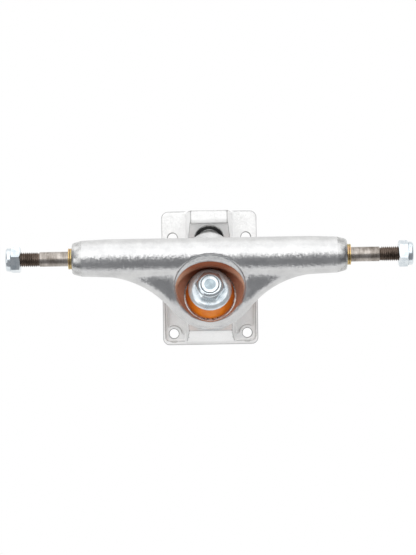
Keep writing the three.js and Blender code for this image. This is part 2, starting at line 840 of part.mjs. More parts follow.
// Group whose Z axis stands along one of the frames
function groupOn(frame) {
  const group = new THREE.Group();
  group.applyMatrix4(frame);
  return group;
}

function kingpinGroup() {
  const group = groupOn(kingpinFrame);
  const bottomFlat = bottomBushingDiameter - 2 * bushingBandInset;
  const bottomWasher = cuppedWasher(bottomWasherDiameter, bottomFlat, bottomWasherLip);
  const topWasher = cuppedWasher(topWasherDiameter, topWasherFlatDiameter, -topWasherLip);
  addPiece(group, 'kingpin', kingpinGeometry(), zincSteel);
  addPiece(group, 'bottom_washer', bottomWasher, zincSteel).position.z = bottomWasherLevel;
  addPiece(group, 'bottom_bushing', bottomBushingGeometry(), amberUrethane).position.z = bottomBushingLevel;
  addPiece(group, 'top_bushing', topBushingGeometry(), amberUrethane).position.z = topBushingLevel;
  addPiece(group, 'top_washer', topWasher, zincSteel).position.z = topWasherLevel;
  const sizes = [kingpinDiameter, kingpinNutHexHeight, kingpinNutCollarHeight];
  const nut = lockNutGeometry(kingpinNutFlats, ...sizes, kingpinNutTurnDegrees);
  addPiece(group, 'kingpin_nut', nut, zincSteel).position.z = kingpinNutLevel;
  addPiece(group, 'kingpin_nut_insert', insertGeometry(...sizes), blueNylon).position.z = kingpinNutLevel;
  return group;
}

// Speed washers and lock nut at one end of the axle, outwards along Z
function axleEndGroup(side, frame, nutTurnDegrees) {
  const group = groupOn(frame);
  const bore = axleDiameter / 2 + runningClearance;
  let level = hangerWidth / 2 + washerGap;
  for (const place of ['inner', 'outer']) {
    const washer = ring(bore, speedWasherDiameter / 2, 0, speedWasherThickness, smallSegments);
    addPiece(group, `speed_washer_${side}_${place}`, washer, yellowZinc).position.z = level;
    level += speedWasherThickness + washerGap;
  }
  const nutLevel = axleLength / 2 + axleNutOverhang - axleNutHexHeight - axleNutCollarHeight;
  const sizes = [axleDiameter, axleNutHexHeight, axleNutCollarHeight];
  const nut = lockNutGeometry(axleNutFlats, ...sizes, nutTurnDegrees);
  addPiece(group, `axle_nut_${side}`, nut, zincSteel).position.z = nutLevel;
  addPiece(group, `axle_nut_insert_${side}`, insertGeometry(...sizes), blueNylon).position.z = nutLevel;
  return group;
}

const truck = new THREE.Group();
addPiece(truck, 'baseplate', baseplateGeometry(), castAluminium);
addPiece(truck, 'hanger', hangerGeometry(), castAluminium);
const pivotGroup = groupOn(nubFrame);
addPiece(pivotGroup, 'pivot_cup', pivotCupGeometry(), blackRubber);
const axleGroup = groupOn(axleFrame);
addPiece(axleGroup, 'axle', axleGeometry(), darkSteel);
truck.add(
  pivotGroup,
  kingpinGroup(),
  axleGroup,
  axleEndGroup('left', leftAxleFrame, leftNutTurnDegrees),
  axleEndGroup('right', axleFrame, rightNutTurnDegrees),
);

export default truck;
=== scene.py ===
"""Skateboard truck, dressed for a plain studio picture from straight above.

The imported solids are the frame. Each piece is made again here at the same size, with its casting radii,
machined faces, threads and finish. Sizes are in millimetres and become metres when a piece is finished.
"""

import logging
import math
from collections.abc import Sequence
from dataclasses import dataclass, field
from enum import Enum, IntEnum

import bmesh
import bpy
from mathutils import Matrix, Vector


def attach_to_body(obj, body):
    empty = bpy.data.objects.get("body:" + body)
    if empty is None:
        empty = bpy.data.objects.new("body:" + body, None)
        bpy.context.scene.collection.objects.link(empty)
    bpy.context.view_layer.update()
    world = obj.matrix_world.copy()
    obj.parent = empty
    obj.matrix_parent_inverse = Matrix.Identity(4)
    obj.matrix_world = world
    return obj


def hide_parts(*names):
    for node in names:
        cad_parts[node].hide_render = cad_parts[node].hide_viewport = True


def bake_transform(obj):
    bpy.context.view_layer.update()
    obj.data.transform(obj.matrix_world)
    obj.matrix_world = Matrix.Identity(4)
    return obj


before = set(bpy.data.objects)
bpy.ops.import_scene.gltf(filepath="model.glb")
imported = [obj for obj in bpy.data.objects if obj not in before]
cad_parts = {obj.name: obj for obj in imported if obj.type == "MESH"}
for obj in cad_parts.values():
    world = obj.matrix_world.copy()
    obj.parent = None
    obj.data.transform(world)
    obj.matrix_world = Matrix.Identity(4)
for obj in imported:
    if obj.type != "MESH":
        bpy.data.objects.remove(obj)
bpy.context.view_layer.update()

log = logging.getLogger("truck")

MM = 0.001
FULL_TURN = 2 * math.pi
WELD_DISTANCE = 0.001
ROUND_STEPS = 64
FINE_STEPS = 96
CORNER_SEGMENTS = 8
THREAD_STEPS = 36

# Noise seldom leaves this range, so patterns are spread over it
PATTERN_RANGE = (0.3, 0.7)

Profile = Sequence[tuple[float, float]]
Ring = Sequence[Vector]
Stops = Sequence[tuple[float, str]]
Tree = bpy.types.NodeTree
Node = bpy.types.Node
Socket = bpy.types.NodeSocket


class Joining(Enum):
    """How a second blank changes the first."""

    CUT = "DIFFERENCE"
    KEEP = "INTERSECT"


class Surface(IntEnum):
    """Material slots of a piece, by what made the surface, and one for the bowl's painted reflection and
    shade.
    """

    BLANK = 0
    CUT = 1
    FACED = 2
    # Bowl wall: painted reflection of the amber bushings, with painted shade towards the back
    PAINTED_BOWL = 3


def smooth_step(value: float, low: float, high: float) -> float:
    """Rise smoothly from 0 to 1 between two values.

    Args:
        value: Where to look.
        low: Value at which the rise starts.
        high: Value at which it ends.

    Returns:
        The share, from 0 to 1.
    """
    share = min(max((value - low) / (high - low), 0.0), 1.0)
    return share * share * (3 - 2 * share)


def mix(start: float, end: float, share: float) -> float:
    """Return the value at a share of the way from start to end."""
    return start + (end - start) * share


def hexagon_corner(flats: float) -> tuple[float, float]:
    """Return the corner radius of a hexagon and how far its corners are chamfered at 30 degrees."""
    radius = flats / 2 / math.cos(math.pi / 6)
    return radius, (radius - flats / 2) * math.tan(math.pi / 6)


def linear(code: str) -> tuple[float, float, float, float]:
    """Turn an sRGB hex colour into linear colour.

    Args:
        code: Colour such as "#C8C8C8".

    Returns:
        Red, green, blue and alpha, linear.
    """
    channels = []
    for start in (1, 3, 5):
        value = int(code[start : start + 2], 16) / 255
        channels.append(value / 12.92 if value <= 0.04045 else ((value + 0.055) / 1.055) ** 2.4)
    return (channels[0], channels[1], channels[2], 1.0)


def per_mm(size: float) -> float:
    """Return the texture scale on metre coordinates at which one feature measures size millimetres."""
    return 1 / (size * MM)


class Blank:
    """A closed piece of material in the making, in millimetres."""

    def __init__(self) -> None:
        """Start with nothing."""
        self.bm = bmesh.new()

    @classmethod
    def turned(cls, profile: Profile, closed: bool = False, steps: int = ROUND_STEPS) -> "Blank":
        """Turn a profile about Z.

        Args:
            profile: Pairs of radius and height.
            closed: Whether the profile joins its last point to its first, as for a ring.
            steps: Number of facets round the turn.

        Returns:
            The turned blank.
        """
        blank = cls()
        verts = [blank.bm.verts.new((radius, 0, height)) for radius, height in profile]
        ends = verts[1:] + (verts[:1] if closed else [])
        edges = [blank.bm.edges.new(pair) for pair in zip(verts, ends)]
        bmesh.ops.spin(
            blank.bm, geom=verts + edges, cent=(0, 0, 0), axis=(0, 0, 1),
            angle=FULL_TURN, steps=steps, use_merge=True,
        )
        return blank.heal()

    @classmethod
    def rod(cls, radius: float, low: float, high: float, bore: float = 0.0) -> "Blank":
        """Make a rod about Z between two heights, or a ring where it has a bore."""
        corners = [(bore, low), (radius, low), (radius, high), (bore, high)]
        return cls.turned(corners, closed=bore > 0)

    @classmethod
    def lofted(cls, rings: Sequence[Ring]) -> "Blank":
        """Bridge rings of equal count and close both ends.

        Args:
            rings: The rings, in order.

        Returns:
            The lofted blank.
        """
        blank = cls()
        loops = []
        for ring in rings:
            verts = [blank.bm.verts.new(point) for point in ring]
            loops.append([blank.bm.edges.new(pair) for pair in zip(verts, verts[1:] + verts[:1])])
        for low, high in zip(loops, loops[1:]):
            bmesh.ops.bridge_loops(blank.bm, edges=low + high)
        bmesh.ops.edgeloop_fill(blank.bm, edges=loops[0] + loops[-1])
        return blank.heal()

    @classmethod
    def extruded(cls, outline: Sequence[Vector], along: Vector) -> "Blank":
        """Extrude a flat outline.

        Args:
            outline: Corners of the flat outline.
            along: Length and direction of the extrusion.

        Returns:
            The extruded blank.
        """
        blank = cls()
        face = blank.bm.faces.new([blank.bm.verts.new(point) for point in outline])
        grown = bmesh.ops.extrude_face_region(blank.bm, geom=[face])["geom"]
        moved = [item for item in grown if isinstance(item, bmesh.types.BMVert)]
        bmesh.ops.translate(blank.bm, verts=moved, vec=along)
        return blank.heal()

    @classmethod
    def block(cls, low: Vector, high: Vector, corner: float = 0.0) -> "Blank":
        """Make a block with rounded upright corners.

        Args:
            low: Lowest corner.
            high: Highest corner.
            corner: Radius of the upright corners.

        Returns:
            The block.
        """
        blank = cls()
        bmesh.ops.create_cube(blank.bm, size=1)
        size = high - low
        bmesh.ops.scale(blank.bm, verts=blank.bm.verts, vec=size)
        bmesh.ops.translate(blank.bm, verts=blank.bm.verts, vec=(low + high) / 2)
        if corner:
            upright = [e for e in blank.bm.edges if abs(e.verts[0].co.z - e.verts[1].co.z) > size.z / 2]
            bmesh.ops.bevel(
                blank.bm, geom=upright, offset=corner, segments=CORNER_SEGMENTS, profile=0.5,
                affect="EDGES", material=-1,
            )
        return blank.heal()

    @classmethod
    def hexagon(cls, flats: float, low: float, high: float, turn: float = 0.0) -> "Blank":
        """Make a hexagonal bar about Z.

        Args:
            flats: Size across flats.
            low: Lower end.
            high: Upper end.
            turn: How far it is turned, in degrees.

        Returns:
            The bar.
        """
        blank = cls()
        radius = hexagon_corner(flats)[0]
        bmesh.ops.create_cone(
            blank.bm, cap_ends=True, segments=6, radius1=radius, radius2=radius, depth=high - low,
            matrix=Matrix.Translation((0, 0, (low + high) / 2)) @ Matrix.Rotation(math.radians(turn), 4, "Z"),
        )
        return blank

    @classmethod
    def thread(cls, radius: float, depth: float, pitch: float, low: float, high: float) -> "Blank":
        """Wind the ridge of a screw thread about Z, fading out at both ends.

        Args:
            radius: Outer radius of the thread.
            depth: Depth of the thread.
            pitch: Rise of one turn.
            low: Where the thread starts.
            high: Where it ends.

        Returns:
            The ridge, sunk a little into the core it lies on.
        """
        blank = cls()
        turns = (high - low) / pitch
        root, crest, sunk = pitch * 0.46, pitch * 0.07, 0.12
        inner = radius - depth - sunk
        section = [(inner, -root), (radius, -crest), (radius, crest), (inner, root)]
        face = blank.bm.faces.new([blank.bm.verts.new((r, 0, low + z)) for r, z in section])
        bmesh.ops.spin(
            blank.bm, geom=[face], cent=(0, 0, 0), axis=(0, 0, 1), angle=FULL_TURN * turns,
            steps=round(turns * THREAD_STEPS), dvec=(0, 0, pitch / THREAD_STEPS),
        )
        for vert in blank.bm.verts:
            reach = math.hypot(vert.co.x, vert.co.y)
            fade = smooth_step(vert.co.z, low, low + pitch)
            fade *= 1 - smooth_step(vert.co.z, high - pitch, high)
            wanted = inner + (reach - inner) * fade
            vert.co.x *= wanted / reach
            vert.co.y *= wanted / reach
        bmesh.ops.recalc_face_normals(blank.bm, faces=blank.bm.faces)
        return blank

    def heal(self) -> "Blank":
        """Merge doubles and turn all faces outwards.

        Returns:
            The same blank.
        """
        bmesh.ops.remove_doubles(self.bm, verts=self.bm.verts, dist=WELD_DISTANCE)
        bmesh.ops.recalc_face_normals(self.bm, faces=self.bm.faces)
        return self

    def place(self, matrix: Matrix) -> "Blank":
        """Move the blank by a matrix and return it."""
        self.bm.transform(matrix)
        return self

    def mark(self, slot: Surface) -> "Blank":
        """Give all faces a material slot and return the blank."""
        for face in self.bm.faces:
            face.material_index = slot
        return self

    def soften(self, width: float, segments: int = 2, angle: float = 30.0) -> "Blank":
        """Bevel the sharp edges.

        Args:
            width: Width of the bevel.
            segments: Number of its segments.
            angle: Smallest turn between two faces that counts as sharp, in degrees.

        Returns:
            The same blank.
        """
        limit = math.radians(angle)
        sharp = [e for e in self.bm.edges if len(e.link_faces) == 2 and e.calc_face_angle() > limit]
        bmesh.ops.bevel(
            self.bm, geom=sharp, offset=width, segments=segments, profile=0.5,
            affect="EDGES", material=-1, clamp_overlap=True,
        )
        return self

    def gather(self, *others: "Blank") -> "Blank":
        """Take in other blanks as they are, overlaps included, and return this one."""
        for other in others:
            mesh = bpy.data.meshes.new("gathered")
            other.bm.to_mesh(mesh)
            self.bm.from_mesh(mesh)
            bpy.data.meshes.remove(mesh)
        return self

    def combine(self, tool: "Blank", how: Joining) -> "Blank":
        """Cut another blank out, or keep what is common with it.

        Args:
            tool: The other blank, which is left as it is.
            how: What to do with it.

        Returns:
            This blank, changed.
        """
        piece, other = self._loose("piece"), tool._loose("tool")
        step = piece.modifiers.new("step", "BOOLEAN")
        step.operation = how.value
        step.solver = "EXACT"
        step.material_mode = "INDEX"
        step.object = other
        self._take(piece)
        self._drop(other)
        return self

    def cast(self, voxel: float, rounds: int) -> "Blank":
        """Give the blank one skin, with the soft radii of a casting.

        Args:
            voxel: Size of the skin's facets.
            rounds: How often the skin is smoothed.

        Returns:
            This blank, changed.
        """
        piece = self._loose("casting")
        step = piece.modifiers.new("skin", "REMESH")
        step.mode = "VOXEL"
        step.voxel_size = voxel
        self._take(piece)
        for _ in range(rounds):
            bmesh.ops.smooth_vert(
                self.bm, verts=self.bm.verts, factor=0.5, use_axis_x=True, use_axis_y=True, use_axis_z=True,
            )
        return self

    def finished(
        self, name: str, materials: Sequence[bpy.types.Material], angle: float = 35.0,
    ) -> bpy.types.Object:
        """Turn the blank into a finished object in metres.

        Args:
            name: Name of the piece.
            materials: Its materials, by slot.
            angle: Smallest turn between two faces that stays a sharp edge, in degrees.

        Returns:
            The object, at the origin, with its place in its mesh.
        """
        self.bm.transform(Matrix.Scale(MM, 4))
        mesh = bpy.data.meshes.new(name)
        self.bm.to_mesh(mesh)
        self.bm.free()
        for material in materials:
            mesh.materials.append(material)
        mesh.shade_smooth()
        mesh.set_sharp_from_angle(angle=math.radians(angle))
        piece = bpy.data.objects.new(name, mesh)
        bpy.context.scene.collection.objects.link(piece)
        log.info("%s: %d faces", name, len(mesh.polygons))
        return piece

    def _loose(self, name: str) -> bpy.types.Object:
        """Return a working object of this blank, with an empty slot for each surface.

        Args:
            name: Name of the object.

        Returns:
            The object.
        """
        mesh = bpy.data.meshes.new(name)
        self.bm.to_mesh(mesh)
        for _ in Surface:
            mesh.materials.append(None)
        piece = bpy.data.objects.new(name, mesh)
        bpy.context.scene.collection.objects.link(piece)
        return piece

    def _take(self, piece: bpy.types.Object) -> None:
        """Read a working object back with its modifiers, and remove it.

        Args:
            piece: The working object.
        """
        graph = bpy.context.evaluated_depsgraph_get()
        mesh = bpy.data.meshes.new_from_object(piece.evaluated_get(graph))
        self.bm.clear()
        self.bm.from_mesh(mesh)
        bpy.data.meshes.remove(mesh)
        self._drop(piece)

    @staticmethod
    def _drop(piece: bpy.types.Object) -> None:
        """Remove a working object and its mesh.

        Args:
            piece: The working object.
        """
        mesh = piece.data
        bpy.data.objects.remove(piece)
        bpy.data.meshes.remove(mesh)


def add_node(tree: Tree, kind: str, settings: dict | None = None, inputs: dict | None = None) -> Node:
    """Add a node with its settings, values and links.

    Args:
        tree: The tree to add it to.
        kind: The node's type.
        settings: Properties by name.
        inputs: For each input, by name or number, a value or the output that it is linked to.

    Returns:
        The node.
    """
    node = tree.nodes.new(kind)
    for name, value in (settings or {}).items():
        setattr(node, name, value)
    for name, value in (inputs or {}).items():
        if isinstance(value, Socket):
            tree.links.new(value, node.inputs[name])
        else:
            node.inputs[name].default_value = value
    return node


def set_ramp(node: Node, stops: Stops) -> Socket:
    """Set the stops of a colour ramp.

    Args:
        node: The ramp.
        stops: Pairs of place and hex colour.

    Returns:
        The ramp's colour output.
    """
    elements = node.color_ramp.elements
    while len(elements) < len(stops):
        elements.new(0.5)
    for element, (place, code) in zip(elements, stops):
        element.position = place
        element.color = linear(code)
    return node.outputs["Color"]


@dataclass(frozen=True)
class Finish:
    """A surface made of nodes on Object coordinates."""

    name: str

    def material(self) -> bpy.types.Material:
        """Build the material.

        Returns:
            The material.
        """
        material = bpy.data.materials.new(self.name)
        material.use_nodes = True
        tree = material.node_tree
        where = add_node(tree, "ShaderNodeTexCoord").outputs["Object"]
        self.dress(tree, tree.nodes["Principled BSDF"], where)
        return material

    def dress(self, tree: Tree, shader: Node, where: Socket) -> None:
        """Give the shader its colour, gloss and relief.

        Args:
            tree: Tree of the material.
            shader: Its Principled shader.
            where: Object coordinates.
        """
        raise NotImplementedError

    @staticmethod
    def coat(
        tree: Tree, shader: Node, pattern: Socket, stops: Stops, *, gloss: tuple[float, float],
        height: Socket, strength: float, depth: float,
    ) -> None:
        """Let the colour and gloss of a shader follow a pattern, and its relief a height.

        Args:
            tree: Tree of the material.
            shader: Its Principled shader.
            pattern: What the colour and gloss follow.
            stops: Pairs of place in the pattern and hex colour.
            gloss: Roughness where the pattern is low and where it is high.
            height: What the relief follows.
            strength: Strength of the relief.
            depth: Its depth in millimetres.
        """
        ramp = add_node(tree, "ShaderNodeValToRGB", inputs={"Fac": pattern})
        tree.links.new(set_ramp(ramp, stops), shader.inputs["Base Color"])
        if gloss[0] == gloss[1]:
            shader.inputs["Roughness"].default_value = gloss[0]
        else:
            rough = add_node(tree, "ShaderNodeMapRange", inputs={
                "Value": pattern, "From Min": PATTERN_RANGE[0], "From Max": PATTERN_RANGE[1],
                "To Min": gloss[0], "To Max": gloss[1],
            })
            tree.links.new(rough.outputs["Result"], shader.inputs["Roughness"])
        bump = add_node(tree, "ShaderNodeBump", inputs={
            "Height": height, "Strength": strength, "Distance": depth * MM,
        })
        tree.links.new(bump.outputs["Normal"], shader.inputs["Normal"])


@dataclass(frozen=True)
class CastAluminium(Finish):
    """Aluminium from a permanent mould, tumbled in ceramic media: satin, with a fine speckle of glints.

    The peened skin reflects softly. Its pits are about 0.1 mm, too fine for the picture, so the grit and
    the speckle are drawn 0.3 to 0.6 mm wide, which is what the eye reads as sparkle from a distance.
    """

    light: str = "#E4E4E3"
    dark: str = "#C6C6C6"
    roughness_low: float = 0.27
    roughness_high: float = 0.34
    metallic: float = 1.0
    specular: float = 0.5
    cloud: float = 9.0
    grit: float = 0.3
    grit_share: float = 0.6
    grit_depth: float = 0.06
    relief: float = 0.2
    speckle: float = 0.5
    speckle_tilt: float = 0.22
    # Painted shade towards the back: along Y, between the from and to lengths in mm, the colour is mixed into
    # this dark brown by up to the share
    painted_shade_colour: str = "#84401F"
    painted_shade_share: float = 0.0
    painted_shade_from: float = 3.0
    painted_shade_to: float = 10.0
    # Share of the colour kept on sharp convex edges, which are darkened as painted shade
    ridge: float = 1.0

    def dress(self, tree: Tree, shader: Node, where: Socket) -> None:
        """Lay clouds, grit and tilted speckles over the metal, and paint shade towards the back and on sharp
        edges.

        Args:
            tree: Tree of the material.
            shader: Its Principled shader.
            where: Object coordinates.
        """
        cloud, grit = (
            add_node(tree, "ShaderNodeTexNoise", inputs={
                "Vector": where, "Scale": per_mm(size), "Detail": 3.0, "Roughness": rough,
            }).outputs["Fac"]
            for size, rough in ((self.cloud, 0.6), (self.grit, 0.7))
        )
        both = add_node(tree, "ShaderNodeMix", inputs={0: self.grit_share, 2: cloud, 3: grit})
        ramp = add_node(tree, "ShaderNodeValToRGB", inputs={"Fac": both.outputs[0]})
        colour = set_ramp(ramp, ((0.36, self.dark), (0.62, self.light)))
        depth = add_node(tree, "ShaderNodeSeparateXYZ", inputs={0: where})
        # Painted shade: a mask that rises towards the back along Y
        behind = add_node(tree, "ShaderNodeMapRange", inputs={
            "Value": depth.outputs["Y"], "From Min": self.painted_shade_from * MM, "From Max": self.painted_shade_to * MM,
            "To Max": self.painted_shade_share,
        })
        with_painted_shade = add_node(tree, "ShaderNodeMix", {"data_type": "RGBA"}, {
            0: behind.outputs["Result"], 6: colour, 7: linear(self.painted_shade_colour),
        })
        # Painted shade: sharp convex edges, found by pointiness, are darkened
        ridge = add_node(tree, "ShaderNodeMapRange", inputs={
            "Value": add_node(tree, "ShaderNodeNewGeometry").outputs["Pointiness"],
            "From Min": 0.51, "From Max": 0.55, "To Min": 1.0, "To Max": self.ridge,
        })
        shaded = add_node(tree, "ShaderNodeVectorMath", {"operation": "SCALE"}, {
            0: with_painted_shade.outputs[2], "Scale": ridge.outputs["Result"],
        })
        tree.links.new(shaded.outputs[0], shader.inputs["Base Color"])
        shader.inputs["Specular IOR Level"].default_value = self.specular
        shader.inputs["Metallic"].default_value = self.metallic
        gloss = add_node(tree, "ShaderNodeMapRange", inputs={
            "Value": grit, "From Min": 0.35, "From Max": 0.65,
            "To Min": self.roughness_high, "To Max": self.roughness_low,
        })
        tree.links.new(gloss.outputs["Result"], shader.inputs["Roughness"])
        self._roughen(tree, shader, where, grit)

    def _roughen(self, tree: Tree, shader: Node, where: Socket, grit: Socket) -> None:
        """Raise the grit and tilt each speckle its own way.

        Args:
            tree: Tree of the material.
            shader: Its Principled shader.
            where: Object coordinates.
            grit: Height of the grit.
        """
        bump = add_node(tree, "ShaderNodeBump", inputs={
            "Height": grit, "Strength": self.relief, "Distance": self.grit_depth * MM,
        })
        cells = add_node(tree, "ShaderNodeTexVoronoi", inputs={
            "Vector": where, "Scale": per_mm(self.speckle),
        })
        lean = add_node(tree, "ShaderNodeVectorMath", {"operation": "SUBTRACT"}, {
            0: cells.outputs["Color"], 1: (0.5, 0.5, 0.5),
        })
        turned = add_node(tree, "ShaderNodeVectorMath", {"operation": "MULTIPLY_ADD"}, {
            0: lean.outputs[0], 1: [self.speckle_tilt] * 3, 2: bump.outputs["Normal"],
        })
        normal = add_node(tree, "ShaderNodeVectorMath", {"operation": "NORMALIZE"}, {0: turned.outputs[0]})
        tree.links.new(normal.outputs[0], shader.inputs["Normal"])


@dataclass(frozen=True)
class TurnedMetal(Finish):
    """Metal faced on a lathe or drilled: brighter than the casting, with tool rings about one axis.

    A tool's feed is about 0.1 mm a turn, too fine for the picture, so the rings are 0.35 mm apart.
    """

    colour: str = "#D6D6D5"
    dark: str = "#A8A8A7"
    roughness: float = 0.22
    centre: Vector = field(default_factory=Vector)
    lean: tuple[float, float, float] = (0.0, 0.0, 0.0)
    feed: float = 0.35
    smear: float = 3.0
    smear_spread: float = 0.12

    def dress(self, tree: Tree, shader: Node, where: Socket) -> None:
        """Draw tool rings about the axis.

        Args:
            tree: Tree of the material.
            shader: Its Principled shader.
            where: Object coordinates.
        """
        place = add_node(tree, "ShaderNodeMapping", {"vector_type": "TEXTURE"}, {
            "Vector": where, "Location": self.centre * MM,
            "Rotation": [math.radians(angle) for angle in self.lean],
        })
        # A wave of scale 1 repeats every 0.314 units
        rings = add_node(tree, "ShaderNodeTexWave", {"wave_type": "RINGS", "rings_direction": "Z"}, {
            "Vector": place.outputs[0], "Scale": 0.314 * per_mm(self.feed), "Distortion": 0.4,
            "Detail": 2.0, "Detail Scale": 1.5,
        })
        smear = add_node(tree, "ShaderNodeTexNoise", inputs={
            "Vector": where, "Scale": per_mm(self.smear), "Detail": 3.0,
        })
        shader.inputs["Metallic"].default_value = 1.0
        self.coat(
            tree, shader, smear.outputs["Fac"], ((0.3, self.dark), (0.6, self.colour)),
            gloss=(self.roughness, self.roughness + self.smear_spread), height=rings.outputs["Fac"],
            strength=0.25, depth=0.01,
        )


@dataclass(frozen=True)
class ZincPlate(Finish):
    """Steel with bright clear zinc plating: a cold bluish mirror, hazy where the plating is thick."""

    colour: str = "#E4EAED"
    haze: str = "#C6D0D6"
    roughness: float = 0.16
    metallic: float = 0.93
    patch: float = 4.0
    haze_spread: float = 0.12
    ripple: float = 0.6

    def dress(self, tree: Tree, shader: Node, where: Socket) -> None:
        """Lay hazy patches over the mirror.

        Args:
            tree: Tree of the material.
            shader: Its Principled shader.
            where: Object coordinates.
        """
        patch = add_node(tree, "ShaderNodeTexNoise", inputs={
            "Vector": where, "Scale": per_mm(self.patch), "Detail": 4.0, "Roughness": 0.65,
        })
        # Zinc crystals are a few micrometres wide, so the relief is drawn as the ripple of the blank
        ripple = add_node(tree, "ShaderNodeTexNoise", inputs={
            "Vector": where, "Scale": per_mm(self.ripple), "Detail": 2.0,
        })
        shader.inputs["Metallic"].default_value = self.metallic
        self.coat(
            tree, shader, patch.outputs["Fac"], ((0.35, self.haze), (0.6, self.colour)),
            gloss=(self.roughness + self.haze_spread, self.roughness), height=ripple.outputs["Fac"],
            strength=0.15, depth=0.02,
        )


@dataclass(frozen=True)
class TarnishedSteel(Finish):
    """Bare hardened steel, centreless ground and oiled: brown-grey tarnish in bands round the rod."""

    light: str = "#C8C1BA"
    dark: str = "#736A61"
    roughness: float = 0.3
    tarnish_spread: float = 0.15
    band: float = 0.9
    band_stretch: float = 0.18
    patch: float = 6.0
    patch_share: float = 0.55

    def dress(self, tree: Tree, shader: Node, where: Socket) -> None:
        """Draw tarnish bands, narrow along the rod and long round it.

        Args:
            tree: Tree of the material.
            shader: Its Principled shader.
            where: Object coordinates.
        """
        squeezed = add_node(tree, "ShaderNodeMapping", inputs={
            "Vector": where, "Scale": (1.0, self.band_stretch, self.band_stretch),
        })
        bands = add_node(tree, "ShaderNodeTexNoise", inputs={
            "Vector": squeezed.outputs[0], "Scale": per_mm(self.band), "Detail": 5.0, "Roughness": 0.7,
        })
        patches = add_node(tree, "ShaderNodeTexNoise", inputs={
            "Vector": where, "Scale": per_mm(self.patch), "Detail": 3.0, "Roughness": 0.6,
        })
        both = add_node(tree, "ShaderNodeMix", inputs={
            0: self.patch_share, 2: bands.outputs["Fac"], 3: patches.outputs["Fac"],
        })
        shader.inputs["Metallic"].default_value = 1.0
        self.coat(
            tree, shader, both.outputs[0], ((0.36, self.dark), (0.64, self.light)),
            gloss=(self.roughness + self.tarnish_spread, self.roughness), height=bands.outputs["Fac"],
            strength=0.3, depth=0.01,
        )


@dataclass(frozen=True)
class YellowZinc(Finish):
    """Steel washer with yellow chromated zinc: gold with a faint shift to olive and rose.

    The grain of the pressing is finer than the picture shows, so it is drawn 0.4 mm wide.
    """

    gold: str = "#D3B67C"
    olive: str = "#B3A87A"
    rose: str = "#CDA382"
    roughness: float = 0.26
    patch: float = 2.5
    grain: float = 0.4

    def dress(self, tree: Tree, shader: Node, where: Socket) -> None:
        """Shift the gold in patches a couple of millimetres wide.

        Args:
            tree: Tree of the material.
            shader: Its Principled shader.
            where: Object coordinates.
        """
        patch = add_node(tree, "ShaderNodeTexNoise", inputs={
            "Vector": where, "Scale": per_mm(self.patch), "Detail": 3.0, "Distortion": 0.6,
        })
        grain = add_node(tree, "ShaderNodeTexNoise", inputs={
            "Vector": where, "Scale": per_mm(self.grain), "Detail": 2.0,
        })
        shader.inputs["Metallic"].default_value = 1.0
        self.coat(
            tree, shader, patch.outputs["Fac"], ((0.3, self.olive), (0.5, self.gold), (0.72, self.rose)),
            gloss=(self.roughness, self.roughness), height=grain.outputs["Fac"], strength=0.2, depth=0.02,
        )


@dataclass(frozen=True)
class Polymer(Finish):
    """Moulded or cast polymer: even colour with faint clouds, a soft skin and fine mould texture.

    The texture of the mould is finer than the picture shows, so it is drawn 0.5 mm wide.
    """

    light: str
    dark: str
    roughness: float
    glow: float = 0.0
    glow_depth: float = 1.5
    glow_tint: tuple[float, float, float] = (1.0, 1.0, 1.0)
    cloud: float = 5.0
    skin: float = 0.5

    def dress(self, tree: Tree, shader: Node, where: Socket) -> None:
        """Lay clouds and mould texture, and let light in where the polymer is clear.

        Args:
            tree: Tree of the material.
            shader: Its Principled shader.
            where: Object coordinates.
        """
        cloud, skin = (
            add_node(tree, "ShaderNodeTexNoise", inputs={
                "Vector": where, "Scale": per_mm(size), "Detail": 3.0,
            }).outputs["Fac"]
            for size in (self.cloud, self.skin)
        )
        shader.inputs["IOR"].default_value = 1.5
        shader.inputs["Subsurface Weight"].default_value = self.glow
        shader.inputs["Subsurface Radius"].default_value = self.glow_tint
        shader.inputs["Subsurface Scale"].default_value = self.glow_depth * MM
        self.coat(
            tree, shader, cloud, ((0.35, self.dark), (0.65, self.light)),
            gloss=(self.roughness, self.roughness), height=skin, strength=0.2, depth=0.03,
        )


